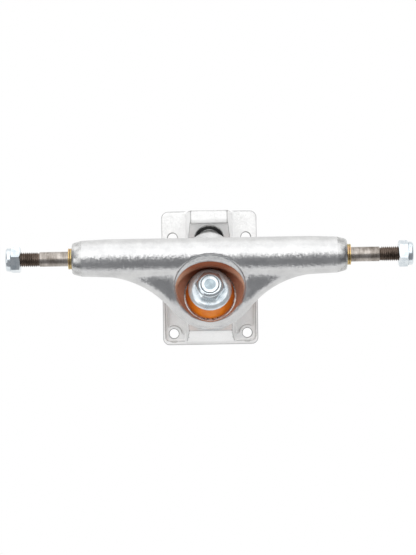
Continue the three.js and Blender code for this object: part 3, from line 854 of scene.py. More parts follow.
@dataclass
class Layout:
    """Places and sizes that the sub-assemblies share."""

    axle_height: float = 55.0
    axle_offset: float = 15.7
    axle_length: float = 215.9
    axle_diameter: float = 7.94
    hanger_width: float = 149.0
    kingpin_lean: float = 18.0
    kingpin_diameter: float = 9.525
    nub_lean: float = 36.0
    seat_setback: float = 13.2
    seat_height: float = 13.0
    mouth_offset: float = 27.0
    mouth_height: float = 17.5
    bolt_spacing_x: float = 41.275
    bolt_spacing_y: float = 53.975
    seat_gap: float = 0.3
    bore_clearance: float = 0.3
    running_clearance: float = 0.2
    thread_pitch: float = 25.4 / 24
    thread_depth: float = 0.62
    overrun: float = 6.0

    washer_thickness: float = 1.6
    bottom_bushing_height: float = 15.6
    ring_thickness: float = 8.0
    ring_recess_depth: float = 2.0
    bottom_bushing_diameter: float = 23.6
    top_bushing_height: float = 11.8
    seat_diameter: float = 27.4
    nut_hex_height: float = 5.2
    nut_collar_height: float = 1.9

    nub_depth: float = 8.0
    nub_tip_radius: float = 4.8
    nub_mouth_radius: float = 5.8
    cup_wall: float = 1.6
    cup_rim_thickness: float = 1.1

    bottom_washer_level: float = field(init=False)
    bottom_bushing_level: float = field(init=False)
    recess_level: float = field(init=False)
    ring_level: float = field(init=False)
    seat_level: float = field(init=False)
    top_bushing_level: float = field(init=False)
    top_washer_level: float = field(init=False)
    nut_level: float = field(init=False)
    kingpin_end: float = field(init=False)

    def __post_init__(self) -> None:
        """Stack the pieces up along the kingpin, from the boss seat to the end of the bolt."""
        gap = self.seat_gap
        self.bottom_washer_level = gap
        self.bottom_bushing_level = self.bottom_washer_level + self.washer_thickness + gap
        self.recess_level = self.bottom_bushing_level + self.bottom_bushing_height + gap
        self.ring_level = self.recess_level - self.ring_recess_depth
        self.seat_level = self.ring_level + self.ring_thickness
        self.top_bushing_level = self.seat_level + gap
        self.top_washer_level = self.top_bushing_level + self.top_bushing_height + gap
        self.nut_level = self.top_washer_level + self.washer_thickness + gap
        self.kingpin_end = self.nut_level + self.nut_hex_height + self.nut_collar_height

    @property
    def kingpin(self) -> Matrix:
        """Frame whose Z axis is the kingpin, from the boss seat."""
        place = Matrix.Translation((0, -self.seat_setback, self.seat_height))
        return place @ Matrix.Rotation(-math.radians(self.kingpin_lean), 4, "X")

    def on_kingpin(self, level: float) -> Matrix:
        """Frame whose Z axis is the kingpin, from a level along it."""
        return self.kingpin @ Matrix.Translation((0, 0, level))

    def bolt(self, side: int, end: int) -> Matrix:
        """Frame of a bolt hole, on the left for -1 or right for 1, and at the front for -1 or back for 1."""
        return Matrix.Translation((side * self.bolt_spacing_x / 2, end * self.bolt_spacing_y / 2, 0))

    @property
    def nub(self) -> Matrix:
        """Frame whose Z axis is the pivot nub, from the mouth of the cup."""
        place = Matrix.Translation((0, self.mouth_offset, self.mouth_height))
        return place @ Matrix.Rotation(math.radians(self.nub_lean), 4, "X")

    def axle(self, side: int = 1) -> Matrix:
        """Frame whose Z axis runs out along the axle, to the right for 1 and to the left for -1."""
        place = Matrix.Translation((0, self.axle_offset, self.axle_height))
        return place @ Matrix.Rotation(side * math.pi / 2, 4, "Y")

    def nub_profile(self, extra: float = 0.0, steps: int = 10) -> list[tuple[float, float]]:
        """Profile of the rounded nub from its tip to the mouth of the cup.

        Args:
            extra: How much the nub is grown on all sides.
            steps: Number of steps round the tip.

        Returns:
            Pairs of radius and height in the nub frame.
        """
        radius = self.nub_tip_radius + extra
        angles = [step / steps * math.pi / 2 for step in range(steps + 1)]
        tip = [(radius * math.sin(a), -self.nub_depth - radius * math.cos(a)) for a in angles]
        return [*tip, (self.nub_mouth_radius + extra, self.seat_gap + self.cup_rim_thickness)]


class Finishes:
    """All materials of the truck, built once."""

    def __init__(self, layout: Layout) -> None:
        """Build each material.

        Args:
            layout: Places of the axes that the tool rings turn about.
        """
        # Painted shade darkens the plate's sharp convex edges
        self.plate_casting = CastAluminium(
            "raw_cast_aluminium", light="#F9F9F8", dark="#ECECEB", roughness_low=0.45, roughness_high=0.6,
            speckle=0.6, speckle_tilt=0.25, relief=0.7, metallic=0.3, ridge=0.35,
        ).material()
        self.hanger_casting = CastAluminium("tumbled_cast_aluminium").material()
        # Bowl wall: its warm brown is a painted reflection of the amber bushings, and it darkens to brown
        # towards the back as painted shade
        self.bowl_painted_reflection = CastAluminium(
            "bowl_aluminium_painted_reflection", light="#DDB096", dark="#C8967A", roughness_low=0.5, roughness_high=0.65,
            metallic=0.0, specular=0.2, painted_shade_share=0.9,
        ).material()
        self.axle_facing = TurnedMetal(
            "faced_aluminium", centre=layout.axle().translation, lean=(0, 90, 0),
        ).material()
        self.seat_facing = TurnedMetal(
            "machined_seat", centre=layout.kingpin.translation, lean=(-layout.kingpin_lean, 0, 0),
        ).material()
        self.zinc = ZincPlate("zinc_plated_steel").material()
        self.zinc_pressing = ZincPlate("zinc_plated_pressing", roughness=0.18, metallic=0.65).material()
        self.zinc_nut = ZincPlate("zinc_plated_nut", roughness=0.13, metallic=0.9).material()
        self.zinc_bolt = ZincPlate(
            "zinc_plated_bolt", colour="#ACB9BF", haze="#8E9BA2", roughness=0.2,
        ).material()
        self.axle_steel = TarnishedSteel("tarnished_ground_steel").material()
        self.thread_steel = TarnishedSteel(
            "oiled_thread_steel", light="#94857A", dark="#55483F", roughness=0.34,
        ).material()
        self.yellow_zinc = YellowZinc("yellow_zinc_washer").material()
        self.urethane = Polymer(
            "amber_urethane", light="#DE7E14", dark="#CF6E0E", roughness=0.42, glow=0.25,
            glow_tint=(1.0, 0.35, 0.1),
        ).material()
        self.cup_rubber = Polymer(
            "black_urethane", light="#1D1D1D", dark="#121212", roughness=0.55,
        ).material()
        self.nylon = Polymer("nylon", light="#E9EEF0", dark="#DCE4E8", roughness=0.4, glow=0.2).material()


def attach(piece: bpy.types.Object, node: str, body: str) -> bpy.types.Object:
    """Let a finished piece stand for a node and ride on a body.

    Args:
        piece: The finished piece.
        node: CAD node that it replaces.
        body: Body that it rides on.

    Returns:
        The piece.
    """
    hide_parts(node)
    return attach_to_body(piece, body)


@dataclass
class Baseplate:
    """Casting that bolts to the deck: flange, pockets, kingpin boss and pivot housing."""

    layout: Layout
    finishes: Finishes
    front: float = 33.4
    back: float = 41.8
    half_width: float = 26.8
    corner: float = 3.8
    rim_height: float = 8.0
    rim: float = 1.7
    front_rim: float = 2.4
    pad_height: float = 6.0
    pad_radius: float = 4.8
    pocket_height: float = 3.8
    pocket_rim: float = 2.6
    pocket_back: float = 18.0
    pocket_corner: float = 3.0
    recess_corner: float = 2.0
    hole: float = 5.3
    hole_edge: float = 0.35
    boss_half_width: float = 12.2
    boss_foot_half_width: float = 14.2
    boss_seat_radius: float = 12.7
    boss_rear_end: float = 6.0
    boss_edge_round: float = 1.6
    housing_top_height: float = 25.8
    housing_top_depth: float = 5.6
    housing_chamfer: float = 1.8
    housing_half_width: float = 13.6
    housing_top_half_width: float = 10.4
    housing_corner: float = 3.0
    head_depth: float = 5.0
    head_recess: float = 17.6
    head_bore_depth: float = 24.0
    cup_bore_overrun: float = 1.0
    cup_bore_edge: float = 0.3
    housing_strip_drop: float = 0.5
    housing_strip_run: float = 0.1
    voxel: float = 0.38
    smoothing: int = 2

    def _flange(self) -> Blank:
        """Make the flange and sink its pockets, around the bolt pads.

        Returns:
            The flange.
        """
        body = Blank.block(
            Vector((-self.half_width, -self.front, 0)), Vector((self.half_width, self.back, self.rim_height)),
            self.corner,
        )
        over = self.rim_height + self.layout.overrun
        for side in (-1, 1):
            inner, outer = side * self.boss_half_width, side * (self.half_width - self.rim)
            recess = Blank.block(
                Vector((min(inner, outer), self.front_rim - self.front, self.pad_height)),
                Vector((max(inner, outer), self.pocket_back, over)),
                self.recess_corner,
            )
            pocket_outer = side * (self.half_width - self.pocket_rim)
            pocket = Blank.block(
                Vector((min(inner, pocket_outer), -self.layout.bolt_spacing_y / 2, self.pocket_height)),
                Vector((max(inner, pocket_outer), self.pocket_back, over)),
                self.pocket_corner,
            )
            pad = Blank.rod(self.pad_radius, 0, self.rim_height).place(self.layout.bolt(side, -1))
            pocket.combine(pad, Joining.CUT)
            body.combine(recess, Joining.CUT).combine(pocket, Joining.CUT)
        return body

    def _side_view(self, outline: Sequence[tuple[float, float]], half_width: float) -> Blank:
        """Extrude an outline in Y and Z to both sides of the middle."""
        corners = [Vector((-half_width, y, z)) for y, z in outline]
        return Blank.extruded(corners, Vector((2 * half_width, 0, 0)))

    def _front_view(self, outline: Sequence[tuple[float, float]]) -> Blank:
        """Extrude an outline in X and Z over the whole length of the plate."""
        corners = [Vector((x, -self.front, z)) for x, z in outline]
        return Blank.extruded(corners, Vector((0, self.front + self.back, 0)))

    def _drafted(self, foot: float, top: float, height: float) -> Blank:
        """Return a bar whose flanks lean in above the pocket floor."""
        return self._front_view([
            (-foot, 0), (foot, 0), (foot, self.pocket_height), (top, height), (-top, height),
            (-foot, self.pocket_height),
        ])

    def _boss(self) -> Blank:
        """Make the block that carries the kingpin.

        Returns:
            The boss, with drafted flanks.
        """
        front = self.layout.kingpin @ Vector((0, -self.boss_seat_radius, 0))
        back = self.layout.kingpin @ Vector((0, self.boss_seat_radius, 0))
        edge = self.boss_edge_round
        block = self._side_view([
            (-self.front, 0), (-self.front, self.rim_height - edge), (-self.front + edge, self.rim_height),
            (front.y - edge, front.z - edge), (front.y, front.z), (back.y, back.z),
            (self.boss_rear_end, self.rim_height), (self.boss_rear_end, 0),
        ], self.boss_foot_half_width)
        flanks = self._drafted(self.boss_foot_half_width, self.boss_half_width, front.z)
        return block.combine(flanks, Joining.KEEP)

    def _housing(self) -> Blank:
        """Make the housing of the pivot cup.

        Returns:
            The housing, with drafted flanks and round rear corners.
        """
        slope = math.tan(math.radians(self.layout.nub_lean))
        face_top = self.back - self.housing_top_depth - self.housing_chamfer
        face_foot = self.layout.mouth_offset - self.layout.mouth_height / slope
        block = self._side_view([
            (face_foot, 0), (self.back, 0), (self.back, self.housing_top_height),
            (self.back - self.housing_top_depth, self.housing_top_height),
            (face_top + self.housing_strip_run, self.housing_top_height - self.housing_strip_drop),
            (face_top, self.layout.mouth_height + (face_top - self.layout.mouth_offset) * slope),
        ], self.housing_half_width)
        flanks = self._drafted(self.housing_half_width, self.housing_top_half_width, self.housing_top_height)
        corners = Blank.block(
            Vector((-self.housing_half_width, face_foot - self.housing_half_width, 0)),
            Vector((self.housing_half_width, self.back, self.housing_top_height)),
            self.housing_corner,
        )
        return block.combine(flanks, Joining.KEEP).combine(corners, Joining.KEEP)

    def _cup_bore(self) -> Blank:
        """Make the tool that bores the housing for the pivot cup.

        Returns:
            The tool.
        """
        points = self.layout.nub_profile(self.layout.cup_wall + self.layout.seat_gap)[:-1]
        mouth = self.layout.nub_mouth_radius + self.layout.cup_wall + self.layout.seat_gap
        edge, over = self.cup_bore_edge, self.cup_bore_overrun
        points += [(mouth, -edge), (mouth + edge, 0), (mouth + edge, over), (0, over)]
        return Blank.turned(points).place(self.layout.nub)

    def _bolt_hole(self, side: int, end: int) -> Blank:
        """Make the tool that drills a bolt hole and eases its edges.

        Args:
            side: -1 on the left, 1 on the right.
            end: -1 at the front, 1 at the back.

        Returns:
            The tool.
        """
        radius, edge, over = self.hole / 2, self.hole_edge, self.layout.overrun
        floor = self.pad_height if end < 0 else self.rim_height
        return Blank.turned([
            (0, -over), (radius + edge + over, -over), (radius, edge), (radius, floor - edge),
            (radius + edge + over, floor + over), (0, floor + over),
        ]).place(self.layout.bolt(side, end))

    def build(self) -> bpy.types.Object:
        """Build the casting, then drill and bore it.

        Returns:
            The finished baseplate.
        """
        body = self._flange().gather(self._boss(), self._housing()).cast(self.voxel, self.smoothing)
        for side in (-1, 1):
            for end in (-1, 1):
                body.combine(self._bolt_hole(side, end), Joining.CUT)
        over = self.layout.overrun
        shaft = self.layout.kingpin_diameter / 2 + self.layout.bore_clearance
        top = self.layout.seat_gap - self.head_depth
        bore = Blank.rod(shaft, -self.head_depth - over, over)
        head = Blank.rod(self.head_recess / 2, top - self.head_bore_depth, top)
        for tool in (bore, head):
            body.combine(tool.place(self.layout.kingpin).mark(Surface.CUT), Joining.CUT)
        body.combine(self._cup_bore().mark(Surface.CUT), Joining.CUT)
        piece = body.finished("baseplate_casting", [self.finishes.plate_casting, self.finishes.seat_facing])
        return attach(piece, "baseplate", "base")


@dataclass
class PivotCup:
    """Black urethane thimble that the hanger's nub turns in."""

    layout: Layout
    finishes: Finishes
    rim_radius: float = 8.0
    edge: float = 0.3

    def build(self) -> bpy.types.Object:
        """Turn the thimble.

        Returns:
            The finished cup.
        """
        outer = self.layout.nub_profile(self.layout.cup_wall)[:-1]
        inner = self.layout.nub_profile(self.layout.seat_gap)
        top = self.layout.seat_gap + self.layout.cup_rim_thickness
        wall = self.layout.nub_mouth_radius + self.layout.cup_wall
        rim = [
            (wall, 0), (wall, self.layout.seat_gap), (self.rim_radius, self.layout.seat_gap),
            (self.rim_radius, top),
        ]
        body = Blank.turned(outer + rim + inner[::-1])
        body.soften(self.edge, segments=2, angle=40.0).place(self.layout.nub)
        piece = body.finished("pivot_cup_thimble", [self.finishes.cup_rubber])
        return attach(piece, "pivot_cup", "base")


@dataclass
class Hanger:
    """Casting that carries the axle: barrel, wings, ring with the bowl, and pivot nub."""

    layout: Layout
    finishes: Finishes
    barrel_radius: float = 10.4
    shoulder_radius: float = 9.8
    shoulder_ease: float = 0.2
    end_radius: float = 7.7
    # Steps out and back from the edge of the faced end to its cone
    end_rounding: tuple[tuple[float, float], ...] = ((-0.2, 0), (0.25, 0.12), (0.65, 0.5), (1.05, 1.4))
    end_taper: float = 5.4
    shoulder_taper: float = 14.0
    ring_front: float = 24.4
    ring_flat: float = 24.2
    ring_arc: float = 26.0
    wing_arc: float = 50.0
    edge_height: float = 35.0
    edge_thickness: float = 3.0
    wing_step: float = 1.3
    flange_width: float = 2.0
    under_height: float = 25.0
    under_offset: float = 10.0
    full_reach: float = 14.0
    slim_reach: float = 34.0
    shelf_reach: float = 23.0
    inset: float = 0.3
    root_lean: float = 46.0
    full_lean: float = 64.0
    slim_lean: float = 72.0
    slim_flange: float = 0.3
    rise_power: float = 1.5
    shelf_power: float = 0.6
    root_power: float = 3.0
    root_length: float = 0.48
    full_length: float = 0.32
    slim_length: float = 0.5
    bowl_half_width: float = 19.0
    bowl_middle: float = 0.5
    bowl_rear: float = 14.0
    bowl_front: float = 20.1
    rim_rear_height: float = 61.4
    rim_front_height: float = 42.7
    egg_front: float = 0.9
    wall_foot: float = 0.38
    wall_side_foot: float = 0.85
    wall_foot_power: float = 6.0
    wall_flare_power: float = 6.0
    lip_side: float = 0.45
    lip_rear: float = 2.7
    lip_front: float = 0.4
    lip_lean: float = 50.0
    lip_round: float = 0.4
    lip_share: float = 0.04
    lip_steps: int = 4
    # Depth below the rim above which the bowl's wall keeps the plain casting, not the painted reflection
    unpainted_lip_depth: float = 0.9
    cup_foot_half_width: float = 22.6
    cup_foot_front: float = 22.3
    cup_foot_rear: float = 12.0
    cup_foot_height: float = 36.4
    boss_radius: float = 16.0
    boss_rise: float = 2.0
    bore_edge: float = 0.4
    ring_hole: float = 15.0
    seat_depth: float = 2.4
    seat_ledge: float = 0.7
    shoulder_of_nub: float = 11.6
    shoulder_rise: float = 12.0
    neck_radius: float = 9.6
    neck_length: float = 27.0
    nub_steps: int = 12
    stations: int = 36
    curve_steps: int = 16
    bowl_steps: int = 20
    round_points: int = 96
    rough_voxel: float = 0.6
    skin_voxel: float = 0.5
    rough_smoothing: int = 5
    skin_smoothing: int = 3

    def _front_edge(self, reach: float) -> float:
        """Follow the front outline of the ring and wings.

        Args:
            reach: Distance from the middle.

        Returns:
            The outline's Y at that distance.
        """
        ring_middle, wing_middle, wing_reach = self._arc_places()
        join = wing_reach * self.ring_arc / (self.ring_arc + self.wing_arc)
        if reach <= join:
            return max(ring_middle - math.sqrt(self.ring_arc**2 - reach**2), -self.ring_flat)
        return wing_middle + math.sqrt(self.wing_arc**2 - (wing_reach - reach) ** 2)

    def _arc_places(self) -> tuple[float, float, float]:
        """Place the two tangent arcs of the front outline.

        Returns:
            The Y of the ring's and of the wing's middle, and the reach of the wings.
        """
        ring_middle = self.ring_arc - self.ring_front
        wing_middle = self.layout.axle_offset - self.barrel_radius - self.wing_arc
        reach = math.sqrt((self.ring_arc + self.wing_arc) ** 2 - (ring_middle - wing_middle) ** 2)
        return ring_middle, wing_middle, reach

    def _wing_section(self, x: float) -> list[Vector]:
        """Return the section of the ring and wings at one X.

        Args:
            x: Where to cut.

        Returns:
            Points from the barrel forward to the edge and back below.
        """
        wing_reach = self._arc_places()[2]
        reach = abs(x)
        share = min(reach / wing_reach, 1.0)
        slim = smooth_step(reach, self.full_reach, self.slim_reach)
        edge_y = self._front_edge(min(reach, wing_reach))
        shelf = smooth_step(reach, self.full_reach, self.shelf_reach)
        rise = mix(share**self.rise_power, share**self.shelf_power, shelf)
        edge_low = mix(self.edge_height, self.layout.axle_height, rise)
        thin = 1 - share**2
        edge_high = edge_low + self.edge_thickness * thin
        flange = self.flange_width * mix(1, self.slim_flange, slim)
        flange_inner = edge_y + flange * thin + self.inset
        root_lean = math.radians(mix(self.root_lean, 90, share**self.root_power))
        end_lean = math.radians(mix(self.full_lean, self.slim_lean, slim))
        axle = Vector((self.layout.axle_offset, self.layout.axle_height))
        hold = self.barrel_radius - self.inset
        root = axle + hold * Vector((-math.sin(root_lean), math.cos(root_lean)))
        end = Vector((flange_inner, edge_high + self.wing_step * thin))
        span = (end - root).length
        first = root - span * self.root_length * Vector((math.cos(root_lean), math.sin(root_lean)))
        edge_length = span * mix(self.full_length, self.slim_length, slim)
        second = end + edge_length * Vector((math.cos(end_lean), math.sin(end_lean)))
        top = []
        for step in range(self.curve_steps + 1):
            t = step / self.curve_steps
            u = 1 - t
            top.append(u**3 * root + 3 * u * u * t * first + 3 * u * t * t * second + t**3 * end)
        foot = Vector((axle.x, axle.y - hold))
        slim_under = (Vector((edge_y, edge_low)) + foot) / 2
        under = Vector((self.under_offset, self.under_height)).lerp(slim_under, slim)
        below = [
            Vector((flange_inner, edge_high)), Vector((edge_y + self.inset, edge_high)),
            Vector((edge_y + self.inset, edge_low)), under, foot, axle,
        ]
        return [Vector((x, point.x, point.y)) for point in top + below]

    def _egg(self, angle: float, half_width: float, rear: float, front: float) -> Vector:
        """Find a point of an egg-shaped outline seen from above.

        Args:
            angle: Angle round the outline, from the right.
            half_width: Reach to both sides.
            rear: Reach to the back.
            front: Reach to the front.

        Returns:
            The point in X and Y.
        """
        c, s = math.cos(angle), math.sin(angle)
        power = 1 / self.egg_front if s < 0 else 1.0
        x = half_width * math.copysign(abs(c) ** power, c)
        y = (front if s < 0 else rear) * math.copysign(abs(s) ** power, s)
        return Vector((x, y - self.bowl_middle))

    def _rim_height(self, y: float) -> float:
        """Return the height of the sloping rim plane at a Y value."""
        slope = (self.rim_rear_height - self.rim_front_height) / (self.bowl_rear + self.bowl_front)
        return self.rim_front_height + (y + self.bowl_front) * slope

    def _angles(self) -> list[float]:
        """Return the angles of the points round the bowl."""
        return [FULL_TURN * i / self.round_points for i in range(self.round_points)]

    def _bowl_ring(self, share: float, lift: float = 0.0, grow: float = 0.0) -> list[Vector]:
        """Return a ring of the bowl between its seat and its rim.

        Args:
            share: Share of the wall's height.
            lift: Extra height.
            grow: How much the rim is widened.

        Returns:
            The points of the ring.
        """
        points = []
        radius = self.layout.seat_diameter / 2
        for angle in self._angles():
            behind = max(math.sin(angle), 0.0)
            foot_share = mix(self.wall_side_foot, self.wall_foot, behind)
            flare = foot_share * (1 - (1 - share) ** self.wall_foot_power)
            flare += (1 - foot_share) * share**self.wall_flare_power
            seat = self.layout.kingpin @ Vector(
                (radius * math.cos(angle), radius * math.sin(angle), self.layout.seat_level)
            )
            rim = self._egg(
                angle, self.bowl_half_width + grow, self.bowl_rear + self.bowl_middle + grow,
                self.bowl_front - self.bowl_middle + grow,
            )
            points.append(Vector((
                mix(seat.x, rim.x, flare), mix(seat.y, rim.y, flare),
                mix(seat.z, self._rim_height(rim.y), share) + lift,
            )))
        return points

    def _lip_ring(self, lift: float) -> list[Vector]:
        """Follow the outer outline of the bowl's lip.

        Args:
            lift: Extra height.

        Returns:
            The points of the ring.
        """
        points = []
        slope = math.tan(math.radians(self.lip_lean))
        for angle, inner in zip(self._angles(), self._bowl_ring(1)):
            at = self._egg(
                angle, self.bowl_half_width + self.lip_side,
                self.bowl_rear + self.lip_rear + self.bowl_middle,
                self.bowl_front + self.lip_front - self.bowl_middle,
            )
            points.append(Vector((at.x, at.y, inner.z + (at.y - inner.y) * slope + lift)))
        return points

    def _bowl_foot(self) -> list[Vector]:
        """Follow the outline at which the bowl's outer wall leaves the wings.

        Returns:
            The points of the ring.
        """
        points = []
        for angle in self._angles():
            at = self._egg(
                angle, self.cup_foot_half_width, self.cup_foot_rear, self.cup_foot_front - self.bowl_middle,
            )
            points.append(Vector((at.x, at.y, self.cup_foot_height)))
        return points

    def _barrel(self) -> Blank:
        """Turn the barrel round the axle, with tapered ends.

        Returns:
            The barrel.
        """
        half = self.layout.hanger_width / 2
        end = [
            (0, half), (self.shoulder_radius - self.shoulder_ease, half),
            (self.shoulder_radius, half - self.end_taper),
            (self.barrel_radius, half - self.end_taper - self.shoulder_taper),
        ]
        profile = [(radius, -level) for radius, level in end] + end[::-1]
        return Blank.turned(profile, steps=FINE_STEPS).place(self.layout.axle())

    def _wings(self) -> Blank:
        """Loft the ring and wings from side to side.

        Returns:
            The wings.
        """
        wing_reach = self._arc_places()[2]
        rings = []
        for station in range(-self.stations, self.stations + 1):
            x = wing_reach * math.sin(station / self.stations * math.pi / 2)
            rings.append(self._wing_section(x))
        return Blank.lofted(rings)

    def _neck(self) -> Blank:
        """Return the pivot nub and the neck behind it."""
        profile = self.layout.nub_profile(steps=self.nub_steps) + [
            (self.shoulder_of_nub, self.shoulder_rise), (self.neck_radius, self.neck_length),
            (0, self.neck_length),
        ]
        return Blank.turned(profile).place(self.layout.nub)

    def _rod(self, radius: float, low: float, high: float) -> Blank:
        """Return a plain rod along the kingpin between two levels."""
        return Blank.rod(radius, low, high).place(self.layout.kingpin)

    def _casting(self) -> Blank:
        """Cast the hanger in one skin and trim the rim of its bowl.

        Returns:
            The rough casting.
        """
        boss = self._rod(self.boss_radius, self.layout.ring_level, self.layout.seat_level + self.boss_rise)
        wall = Blank.lofted([self._bowl_foot(), self._lip_ring(self.inset)])
        body = self._wings().gather(self._barrel(), self._neck(), boss, wall)
        body.cast(self.rough_voxel, self.rough_smoothing)
        rise = self.layout.axle_height + self.barrel_radius + self.layout.overrun - self.rim_front_height
        trim = Blank.lofted([self._bowl_ring(1), self._lip_ring(0), self._lip_ring(rise)])
        return body.combine(trim, Joining.CUT).cast(self.skin_voxel, self.skin_smoothing)

    def _bowl(self) -> Blank:
        """Make the tool that hollows the bowl, gives its wall a surface of painted reflection and painted
        shade, and rounds its lip.

        Returns:
            The tool.
        """
        lip_start = 1 - self.lip_share
        rings = [self._bowl_ring(step / self.bowl_steps * lip_start) for step in range(self.bowl_steps)]
        for step in range(self.lip_steps + 1):
            angle = step / self.lip_steps * math.pi / 2
            share = 1 - self.lip_share * (1 - math.sin(angle))
            rings.append(self._bowl_ring(share, 0, self.lip_round * (1 - math.cos(angle))))
        rings.append(self._bowl_ring(1, self.lip_round, 2 * self.lip_round))
        tool = Blank.lofted(rings)
        # Faces deep in the bowl take its painted reflection and painted shade; the band under the rim keeps
        # the plain casting
        for face in tool.bm.faces:
            at = face.calc_center_median()
            in_painted_bowl = at.z < self._rim_height(at.y) - self.unpainted_lip_depth
            face.material_index = Surface.PAINTED_BOWL if in_painted_bowl else Surface.BLANK
        return tool

    def _machining(self) -> list[Blank]:
        """Make the tools that face and bore the casting, marked by the kind of surface they leave.

        Returns:
            The tools.
        """
        seat, over = self.layout.seat_diameter / 2 + self.seat_ledge, self.layout.overrun
        level, low = self.layout.seat_level, self.layout.ring_level - over
        seat_tool = self._rod(seat, level, level + self.layout.seat_gap + self.seat_depth)
        hole = self._rod(self.ring_hole / 2, low, level + over)
        wide = self.layout.bottom_bushing_diameter / 2 + self.layout.seat_gap
        recess = self._rod(wide, low, self.layout.recess_level)
        half, edge = self.layout.hanger_width / 2, self.bore_edge
        bore = self.layout.axle_diameter / 2 + self.layout.running_clearance
        rod = Blank.turned([
            (0, -half - over), (bore + over, -half - over), (bore, -half + edge), (bore, half - edge),
            (bore + over, half + over), (0, half + over),
        ]).place(self.layout.axle())
        return [*(tool.mark(Surface.CUT) for tool in (seat_tool, hole, recess)), rod.mark(Surface.FACED)]

    def _facing(self, side: int) -> Blank:
        """Make the tool that faces one end of the barrel and turns its cone.

        Args:
            side: -1 for the left end, 1 for the right.

        Returns:
            The tool.
        """
        half, over = self.layout.hanger_width / 2, self.layout.overrun
        rounding = [(self.end_radius + out, back) for out, back in self.end_rounding]
        radius, length = rounding[-1]
        slope = (self.shoulder_radius - radius) / (self.end_taper - length)
        outer = self.barrel_radius + 1
        reach = length + (outer - radius) / slope
        tool = Blank.turned([
            (0, half), *((out, half - back) for out, back in rounding),
            (outer, half - reach), (outer, half + over), (0, half + over),
        ], steps=FINE_STEPS)
        return tool.mark(Surface.FACED).place(self.layout.axle(side))

    def build(self) -> bpy.types.Object:
        """Build the casting, then machine it.

        Returns:
            The finished hanger.
        """
        body = self._casting()
        for tool in [self._bowl(), *self._machining(), self._facing(1), self._facing(-1)]:
            body.combine(tool, Joining.CUT)
        materials = [
            self.finishes.hanger_casting, self.finishes.seat_facing, self.finishes.axle_facing,
            self.finishes.bowl_painted_reflection,
        ]
        piece = body.finished("hanger_casting", materials)
        return attach(piece, "hanger", "hanger")


@dataclass
class Bushings:
    """Two amber urethane bushings that the hanger leans against."""

    layout: Layout
    finishes: Finishes
    top_diameter: float = 21.0
    skirt: float = 2.4
    band_inset: float = 0.7
    edge: float = 0.8
    edge_round: float = 0.48
    bands: int = 10

    def _shares(self) -> list[float]:
        """Return where the bands of a bushing end, as shares of its height."""
        return [band / self.bands for band in range(self.bands + 1)]

    def _ring(self, outer: Profile, height: float) -> Blank:
        """Turn a bushing.

        Args:
            outer: Its outer profile.
            height: Its height.

        Returns:
            The bushing.
        """
        bore = self.layout.kingpin_diameter / 2 + self.layout.bore_clearance
        body = Blank.turned([(bore, 0), *outer, (bore, height)], closed=True)
        return body.soften(self.edge_round, segments=3, angle=25.0)

    def _bend(self, piece: bpy.types.Object) -> None:
        """Bake a bushing's place into its mesh, without bending it.

        Args:
            piece: The bushing.
        """
        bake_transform(piece)

    def _bottom(self) -> None:
        """Make the barrel under the hanger's ring."""
        height, wide = self.layout.bottom_bushing_height, self.layout.bottom_bushing_diameter / 2
        narrow = wide - self.band_inset
        bulge = [
            (mix(narrow, wide, math.sin(share * math.pi)), mix(self.edge, height - self.edge, share))
            for share in self._shares()
        ]
        body = self._ring([(narrow - self.edge, 0), *bulge, (narrow - self.edge, height)], height)
        level = self.layout.bottom_bushing_level
        body.place(self.layout.on_kingpin(level))
        piece = body.finished("bottom_bushing_barrel", [self.finishes.urethane])
        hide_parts("bottom_bushing")
        self._bend(piece)

    def _top(self) -> None:
        """Make the cone that stands in the bowl's seat."""
        height, narrow = self.layout.top_bushing_height, self.top_diameter / 2
        wide = self.layout.seat_diameter / 2 - self.layout.seat_gap
        cone = [
            (mix(wide, narrow, share), mix(self.skirt, height - self.edge, share))
            for share in self._shares()
        ]
        outer = [(wide - self.edge, 0), (wide, self.edge), *cone, (narrow - self.edge, height)]
        level = self.layout.top_bushing_level
        body = self._ring(outer, height).place(self.layout.on_kingpin(level))
        piece = body.finished("top_bushing_cone", [self.finishes.urethane])
        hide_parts("top_bushing")
        self._bend(piece)

    def build(self) -> None:
        """Build both bushings."""
        self._bottom()
        self._top()


